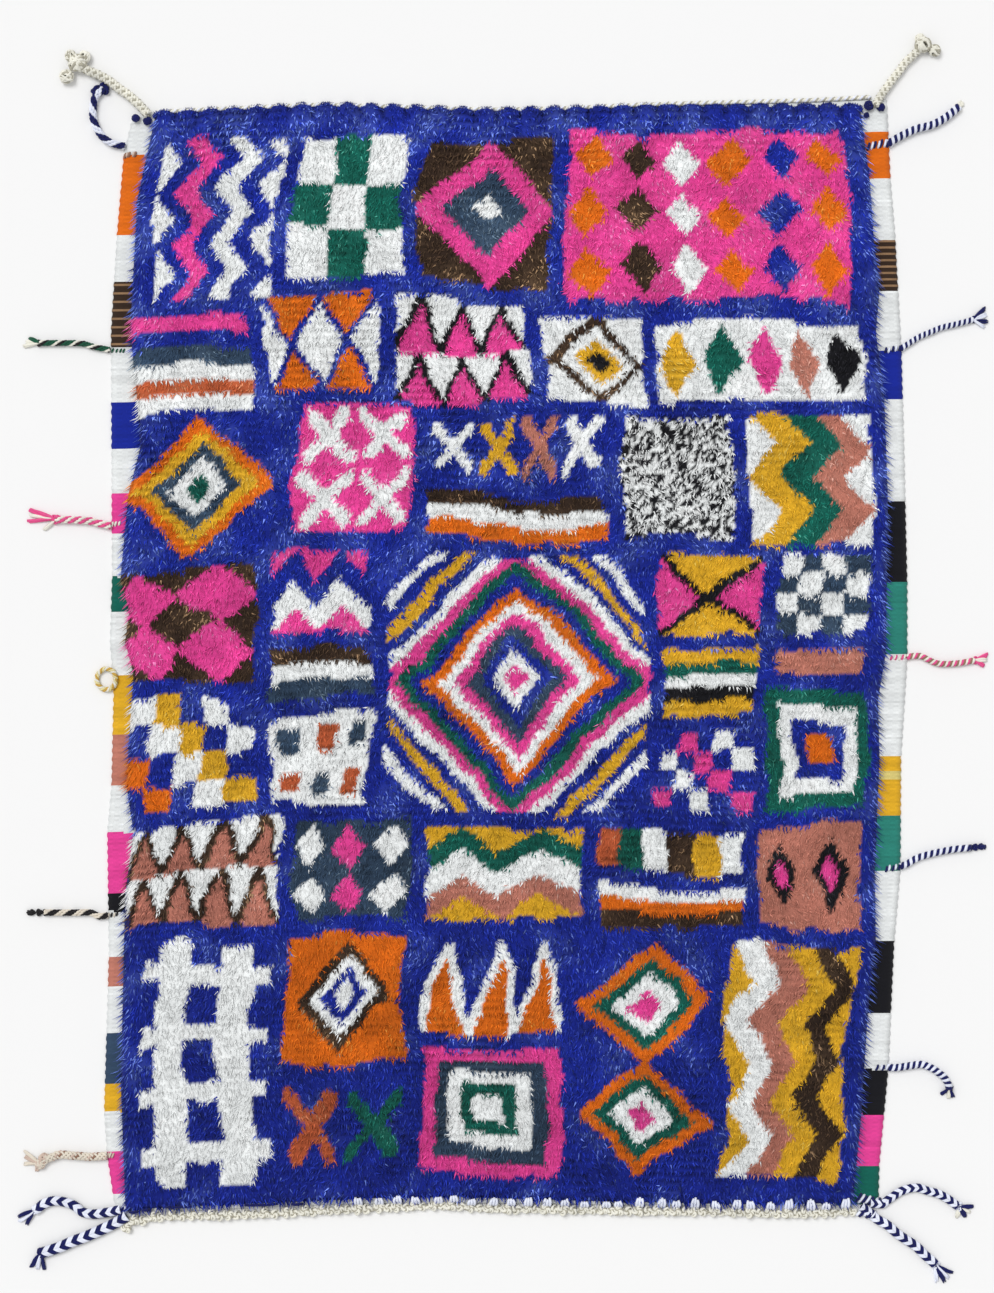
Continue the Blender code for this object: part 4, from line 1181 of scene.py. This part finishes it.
PLAIT_FLATNESS = 0.7
TASSEL_STEP = 1.8 * MM
BRUSH_SEED = 8
BRUSH_YARNS = 5
BRUSH_HEIGHT = 2.6 * MM
SEWN_RISE = 5 * MM
BALL_LOOPS = 14
BALL_FLATNESS = 0.7
PLAIT_THREADS = 4
BRAID_THREADS = 4
Tassel = namedtuple("Tassel", "name sewn make width pitch route knots tips yarns knot_yarns tip_yarns slot")
TASSELS = (
    Tassel(
        "tassel_left_1", (-680, 1030), "braid", 19, 26,
        ((-690, 1041), (-699, 1051), (-718, 1068), (-737, 1081), (-756, 1096), (-779, 1108), (-796, 1115)),
        ((-814, 1128, 19), (-835, 1103, 15), (-802, 1140, 13), (-828, 1143, 12)),
        (),
        "ivory grey", "ivory ivory grey", "ivory grey", "ivory_wool",
    ),
    Tassel(
        "tassel_left_2", (), "twist", 15, 38,
        ((-743, 971), (-756, 980), (-775, 999), (-785, 1024), (-785, 1049), (-781, 1066), (-775, 1072)),
        ((-766, 1081, 14), (-779, 1077, 12)),
        (),
        "navy navy white white", "navy", "navy", "blue_white_yarn",
    ),
    Tassel(
        "tassel_left_3", (), "twist", 12, 34,
        ((-771, 585), (-785, 591), (-806, 597), (-838, 598), (-864, 598), (-880, 598)),
        ((-887, 598, 8),),
        ((-918, 591), (-915, 600), (-908, 607)),
        "green ivory black green", "black", "ivory ivory green", "green_yarn",
    ),
    Tassel(
        "tassel_left_4", (), "twist", 15, 40,
        ((-758, 251), (-771, 255), (-790, 260), (-813, 262), (-845, 263)),
        ((-856, 264, 11),),
        ((-910, 282), (-908, 271), (-911, 259), (-880, 243)),
        "pink ivory pink ivory", "pink", "pink ivory", "pink_yarn",
    ),
    Tassel(
        "tassel_left_5", (), "twist", 13, 34,
        ((-762, -488), (-775, -490), (-790, -483), (-821, -483), (-853, -483), (-876, -483)),
        ((-876, -483, 7.5), (-888, -483, 8), (-901, -483, 7)),
        ((-911, -482), (-911, -486)),
        "black black cream cream", "black", "black", "black_yarn",
    ),
    Tassel(
        "tassel_left_6", (), "braid", 17, 32,
        ((-766, -944), (-788, -946), (-821, -944), (-849, -942), (-866, -948)),
        ((-878, -950, 12), (-886, -960, 11)),
        ((-918, -935), (-916, -947), (-919, -962), (-893, -975)),
        "cream beige brown", "cream beige", "cream beige", "beige_yarn",
    ),
    Tassel(
        "tassel_left_7", (-734, -1046), "plait", 20, 22,
        (
            (-754, -1051), (-768, -1053), (-785, -1055), (-806, -1051), (-821, -1039), (-840, -1032),
            (-861, -1030), (-880, -1036), (-888, -1043),
        ),
        ((-896, -1048, 10),),
        ((-930, -1062), (-927, -1071), (-912, -1078)),
        "navy white", "white navy", "navy white", "blue_white_yarn",
    ),
    Tassel(
        "tassel_left_8", (-722, -1058), "plait", 23, 24,
        ((-742, -1071), (-771, -1085), (-798, -1097), (-825, -1107), (-847, -1117), (-872, -1125)),
        ((-884, -1129, 11),),
        ((-904, -1158), (-892, -1160), (-878, -1161)),
        "navy white", "navy", "navy white navy", "blue_white_yarn",
    ),
    Tassel(
        "tassel_right_1", (698, 1048), "braid", 17, 24,
        ((711, 1070), (722, 1085), (733, 1100), (745, 1115), (756, 1130), (773, 1146)),
        ((789, 1163, 17), (784, 1175, 11), (811, 1153, 13)),
        (),
        "ivory grey", "ivory ivory grey", "ivory grey", "ivory_wool",
    ),
    Tassel(
        "tassel_right_2", (), "coil", 16, 12,
        (
            (730, 977), (739, 986), (758, 996), (779, 1005), (804, 1011), (823, 1020), (838, 1030),
            (849, 1039),
        ),
        ((857, 1046, 9),),
        ((868, 1053), (862, 1058)),
        "navy white", "ivory", "ivory", "blue_white_yarn",
    ),
    Tassel(
        "tassel_right_3", (), "coil", 12, 10,
        ((749, 587), (756, 593), (770, 602), (783, 610), (809, 621), (823, 627), (849, 633), (876, 640)),
        ((884, 643, 8),),
        ((908, 666), (912, 654), (913, 641), (907, 629)),
        "navy white", "navy white", "navy white", "blue_white_yarn",
    ),
    Tassel(
        "tassel_right_4", (), "coil", 12, 13,
        ((760, 2), (770, 4), (785, 4), (798, -2), (811, -8), (826, -11), (853, -10), (878, -6)),
        ((887, -4, 9),),
        ((914, 8), (911, -3), (908, -15)),
        "pink ivory brown", "pink ivory", "pink ivory", "pink_yarn",
    ),
    Tassel(
        "tassel_right_5", (), "coil", 14, 12,
        ((749, -395), (760, -390), (773, -382), (788, -376), (815, -369), (847, -363), (876, -360)),
        ((878, -360, 7.5), (888, -359, 8), (899, -358, 7.5)),
        ((910, -357), (909, -360)),
        "navy white", "navy", "navy", "blue_white_yarn",
    ),
    Tassel(
        "tassel_right_6", (), "coil", 15, 11,
        (
            (726, -777), (739, -777), (754, -775), (783, -771), (794, -773), (808, -779), (817, -785),
            (830, -796), (837, -808),
        ),
        ((840, -817, 9),),
        ((848, -834), (838, -836), (824, -829)),
        "navy white", "navy", "navy ivory", "blue_white_yarn",
    ),
    Tassel(
        "tassel_right_7", (690, -1034), "plait", 18, 16,
        (
            (713, -1036), (720, -1030), (732, -1022), (745, -1013), (762, -1007), (779, -1005), (798, -1011),
            (817, -1016), (836, -1026), (847, -1034),
        ),
        ((856, -1041, 11),),
        ((885, -1041), (880, -1052), (871, -1061), (855, -1063)),
        "navy white", "white navy", "navy ivory", "blue_white_yarn",
    ),
    Tassel(
        "tassel_right_8", (672, -1040), "plait", 20, 19,
        (
            (686, -1050), (703, -1065), (722, -1076), (739, -1091), (758, -1104), (775, -1115),
            (792, -1132), (804, -1142),
        ),
        ((813, -1151, 10),),
        ((846, -1167), (840, -1177), (832, -1184), (817, -1185)),
        "navy white", "white", "navy white", "blue_white_yarn",
    ),
)
brush = np.random.default_rng(BRUSH_SEED)


def plait(line, radius, pitch, yarns):
    """A flat plait: from both edges bands of threads come in to the middle and meet in a row of chevrons."""
    across, up = sides_of(line)
    lengths = along_line(line)
    half = pitch / 2
    share = np.linspace(0, 1, 6)
    swell = np.array((0.75, 1.05, 1.15, 1.15, 1.1, 0.95))
    plies = [Ply(line - (0.0, 0.0, 0.3 * radius), 0.4 * radius, yarns[0])]
    for number in range(-1, int(lengths[-1] / half) + 1):
        yarn = yarns[number % len(yarns)]
        for side in (-1, 1):
            for thread in range(PLAIT_THREADS):
                place = np.clip((number + 0.95 * share + thread / PLAIT_THREADS) * half, 0, lengths[-1])
                out = side * radius * 0.86 * (1 - share)
                lift = radius * PLAIT_FLATNESS * (0.66 * np.sin(math.pi * (0.05 + 0.62 * share)) - 0.1)
                sides = [read_line(direction, lengths, place) for direction in (across, up)]
                path = beside(read_line(line, lengths, place), sides, out, lift)
                plies.append(Ply(path, 0.55 * half / PLAIT_THREADS * swell, yarn))
    return plies


def braid(line, radius, pitch, yarns):
    """A round braid: four threads go round one way and four the other, over and under in turn."""
    plies = []
    for way in (1, -1):
        for thread in range(BRAID_THREADS):
            turn = way * 2 * math.pi * (along_line(line) / pitch + thread / BRAID_THREADS)
            out = radius * (0.62 + 0.14 * way * np.cos(BRAID_THREADS * turn))
            path = beside(line, sides_of(line), out * np.cos(turn), out * np.sin(turn))
            plies.append(Ply(path, 0.27 * radius, yarns[thread % len(yarns)] if way > 0 else yarns[0]))
    return plies


def ball(place, radius, yarns):
    """A knot wound round and round into a ball."""
    plies = []
    t = np.linspace(0, 2 * math.pi, 15)[:, None]
    for number in range(BALL_LOOPS):
        axis = brush.normal(0, 1, 3)
        first = np.cross(axis, brush.normal(0, 1, 3))
        second = np.cross(axis, first)
        circle = np.cos(t) * first / np.linalg.norm(first) + np.sin(t) * second / np.linalg.norm(second)
        wave = 1 + 0.08 * np.sin(3 * t + number)
        loop = circle * wave * radius * brush.uniform(0.72, 0.84) * (1, 1, BALL_FLATNESS)
        loop += (*place, BALL_FLATNESS * radius)
        plies.append(Ply(loop, 0.15 * radius, yarns[number % len(yarns)]))
    return plies


def brush_end(row):
    """Cut yarns that leave the knot towards each tip, close together and each a little bent."""
    plies = []
    yarns = row.tip_yarns.split()
    for number, (x, y) in enumerate(row.tips):
        nearest = min(row.knots, key=lambda knot: math.hypot(knot[0] - x, knot[1] - y))
        start = np.array(nearest[:2]) * MM
        end = np.array((x, y)) * MM
        across = np.array((-(end - start)[1], (end - start)[0])) / np.linalg.norm(end - start)
        for strand in range(BRUSH_YARNS):
            share = np.linspace(0, 1, 6)[:, None]
            fan = across * (strand - BRUSH_YARNS / 2) * brush.uniform(0.9, 1.4) * MM
            bend = across * brush.normal(0, 1.2 * MM)
            reach = brush.uniform(0.88, 1.04)
            flat = start + (end - start) * share * reach + fan * share + bend * np.sin(math.pi * share)
            high = BRUSH_HEIGHT + brush.uniform(0, 5 * MM) * np.sin(math.pi * (0.3 + 0.7 * share))
            radius = brush.uniform(1.7, 2.3) * MM * np.array((1, 1, 1.1, 1.1, 1, 0.7))
            plies.append(Ply(np.column_stack((flat, high)), radius, yarns[number % len(yarns)]))
    return plies


def seated(name, route):
    """Slides the root of a tassel to the edge of the weave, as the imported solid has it."""
    low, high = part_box(name)
    inner = high.x if route[0][0] < 0 else low.x
    route[0] = (inner, *route[0][1:])
    return route


# How each kind of cord is made, and the step at which its line is read.
MAKES = {
    "twist": (twist, TASSEL_STEP), "coil": (plain_twist, 0.6 * TASSEL_STEP), "plait": (plait, TASSEL_STEP),
    "braid": (braid, TASSEL_STEP),
}


def make_tassel(row):
    radius = row.width * MM / 2
    high = radius * (PLAIT_FLATNESS if row.make == "plait" else 1)
    route = [(x * MM, y * MM, high) for x, y in (*row.route, row.knots[0][:2])]
    if row.sewn:
        route.insert(0, (row.sewn[0] * MM, row.sewn[1] * MM, high + SEWN_RISE))
    else:
        route = seated(row.name, route)
    make, step = MAKES[row.make]
    plies = settle(make(smooth_line(route, step), radius, row.pitch * MM, row.yarns.split()))
    knot_yarns = row.knot_yarns.split()
    for x, y, size in row.knots:
        if row.make == "braid":
            plies += settle(ball((x * MM, y * MM), size * MM, knot_yarns))
        else:
            plies += settle(lump((x * MM, y * MM), size * MM, (knot_yarns * 4)[:4], 0.01 * x))
    plies += brush_end(row)
    piece = lay_yarns(row.name + "_yarns", plies)
    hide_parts(row.name)


for row in TASSELS:
    make_tassel(row)


# The loop on the left side.
# A small ring of pale yellow and gold yarn, twisted, that is caught over the edge of the yellow block.

LOOP_RADIUS = 5.5 * MM
LOOP_PITCH = 16 * MM
LOOP_FLATNESS = 0.85
LOOP_YARNS = ("straw", "ivory", "gold")
LOOP_ROUTE = (
    (-742, -40, 9), (-746, -27, 8), (-760, -20, 6), (-773, -26, 5.5), (-779, -40, 5.5), (-773, -54, 5.5),
    (-760, -60, 6), (-746, -53, 8), (-742, -39, 9),
)

loop_line = smooth_line([(x * MM, y * MM, z * MM) for x, y, z in LOOP_ROUTE], TASSEL_STEP)
loop_plies = twist(loop_line, LOOP_RADIUS, LOOP_PITCH, LOOP_YARNS, LOOP_FLATNESS)
side_loop = lay_yarns("side_loop_yarns", settle(loop_plies))
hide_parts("side_loop")


# The stitches.
# Short lengths of navy, ivory and coloured yarn, drawn through the weave with a needle. They sew the
# tassels to the side strips, mark the corners and run along the lower end.

STITCH_STEPS = 9
STITCH_SEED = 3
STITCH_SLANT = 0.45
STITCH_SPREAD = 0.6 * MM
DASH_RADIUS = 2.6 * MM
DASH_HEIGHT = PILE_TOP_HEIGHT - 3 * MM
Run = namedtuple("Run", "name start end count length radius yarns height")
RUNS = (
    Run("stitches_left_top_border", (-729, 955), (-703, 957), 5, 8, 2.4, "brown beige", 5),
    Run("stitches_left_3", (-752, 584), (-724, 583), 4, 7, 1.8, "green", 5),
    Run("stitches_left_4", (-752, 254), (-733, 256), 3, 7, 2.2, "ivory", 5),
    Run("stitches_left_5", (-757, -489), (-738, -486), 4, 7, 1.8, "cream black", 5),
    Run("stitches_left_6", (-760, -944), (-746, -944), 3, 9, 2.0, "beige cream", 5),
    Run("stitches_left_7", (-748, -1052), (-722, -1048), 4, 13, 2.6, "navy white", 6),
    Run("stitches_right_2", (684, 972), (733, 979), 8, 13, 2.4, "navy white", 6),
    Run("stitches_right_3", (716, 584), (748, 589), 5, 8, 2.4, "navy white", 6),
    Run("stitches_right_4", (727, 0), (758, 3), 6, 8, 1.9, "pink ivory", 5),
    Run("stitches_right_5", (716, -401), (748, -396), 5, 9, 2.4, "navy white", 6),
    Run("stitches_right_6", (700, -777), (724, -777), 4, 9, 2.2, "navy white", 6),
    Run("stitches_right_7", (664, -1024), (712, -1036), 8, 17, 2.7, "navy white", 6),
    Run("stitches_right_8", (664, -1050), (698, -1058), 5, 15, 2.7, "white navy", 8),
)
stitching = np.random.default_rng(STITCH_SEED)


def stitch(middle, direction, length, radius, yarn, height):
    """One stitch: a short yarn that comes up out of the cloth, lies over it and goes down again."""
    share = np.linspace(-1, 1, STITCH_STEPS)[:, None]
    flat = np.asarray(middle) + np.asarray(direction) * share * length / 2
    rise = height + radius * (0.9 - 2.6 * np.abs(share) ** 3)
    return Ply(np.column_stack((flat, rise)), radius, yarn)


def sew(run):
    start, end = np.array(run.start) * MM, np.array(run.end) * MM
    along = (end - start) / np.linalg.norm(end - start)
    slant = np.array((-along[1], along[0])) + STITCH_SLANT * along
    yarns = run.yarns.split()
    plies = []
    for number in range(run.count):
        middle = start + (end - start) * (number + 0.5) / run.count + stitching.normal(0, STITCH_SPREAD, 2)
        plies.append(stitch(
            middle, slant, run.length * MM * stitching.uniform(0.85, 1.1), run.radius * MM,
            yarns[number % len(yarns)], run.height * MM,
        ))
    piece = lay_yarns(run.name, plies)


for run in RUNS:
    sew(run)

# Round navy tufts mark the two upper corners, each with its place and its radius.
TUFTS = {
    "tufts_left_corner": ((-704, 1024, 8.5), (-682, 1019, 9)),
    "tufts_right_corner": ((686, 1048, 10), (709, 1045, 9), (682, 1030, 6)),
}
for name, places in TUFTS.items():
    plies = []
    for x, y, size in places:
        plies += settle(ball((x * MM, y * MM), size * MM, ("navy",)), GROUND_THICK)
    lay_yarns(name, plies)

# Long navy stitches lie along the left part of the lower end, each with its middle and its length.
DASHES = ((-708, -1050, 16), (-685, -1046, 14), (-619, -1040, 55), (-466, -1036, 62), (-398, -1035, 20))
dashes = [
    stitch((x * MM, y * MM), (1.0, 0.04), length * MM, DASH_RADIUS, "navy", DASH_HEIGHT)
    for x, y, length in DASHES
]
lay_yarns("stitches_lower_end", dashes)


# The floor, the light and the camera.
# The rug lies on a wide sheet of pale paper under soft studio light, a large lamp from the upper left and
# a white room around it. The camera looks straight down on it from well above.

FLOOR_SIZE = 120.0
FLOOR_DROP = 0.2 * MM
PAPER = {"Base Color": (0.86, 0.86, 0.86, 1.0), "Roughness": 0.9}
ROOM = {"Color": (1.0, 1.0, 1.0, 1.0), "Strength": 0.66}
LAMP_STRENGTH = 1.58
LAMP_SPREAD = math.radians(28)
LAMP_DIRECTION = (0.55, -0.65, -1.5)
VIEW_CENTRE = (-0.019, 0.022)
VIEW_HEIGHT = 2.4567
CAMERA_HEIGHT = 5.8
SENSOR = 36.0

deselect_all()
bpy.ops.mesh.primitive_plane_add(size=FLOOR_SIZE, location=(0.0, 0.0, -FLOOR_DROP))
floor = bpy.context.object
floor.name = "floor"
paper = bpy.data.materials.new("pale_floor")
paper.use_nodes = True
sheet = paper.node_tree
set_inputs(sheet, sheet.nodes["Principled BSDF"], PAPER)
floor.data.materials.append(paper)

world = bpy.data.worlds.new("studio")
world.use_nodes = True
set_inputs(world.node_tree, world.node_tree.nodes["Background"], ROOM)
bpy.context.scene.world = world

lamp = bpy.data.lights.new("lamp", "SUN")
lamp.energy = LAMP_STRENGTH
lamp.angle = LAMP_SPREAD
lamp_stand = bpy.data.objects.new("lamp", lamp)
lamp_stand.rotation_euler = Vector(LAMP_DIRECTION).to_track_quat("-Z", "Y").to_euler()
bpy.context.collection.objects.link(lamp_stand)

camera = bpy.data.cameras.new("camera")
camera.sensor_width = SENSOR
camera.lens = SENSOR / 2 / (VIEW_HEIGHT / 2 / CAMERA_HEIGHT)
camera_stand = bpy.data.objects.new("camera", camera)
camera_stand.location = (*VIEW_CENTRE, CAMERA_HEIGHT)
bpy.context.collection.objects.link(camera_stand)
bpy.context.scene.camera = camera_stand
bpy.context.scene.view_settings.view_transform = "Standard"
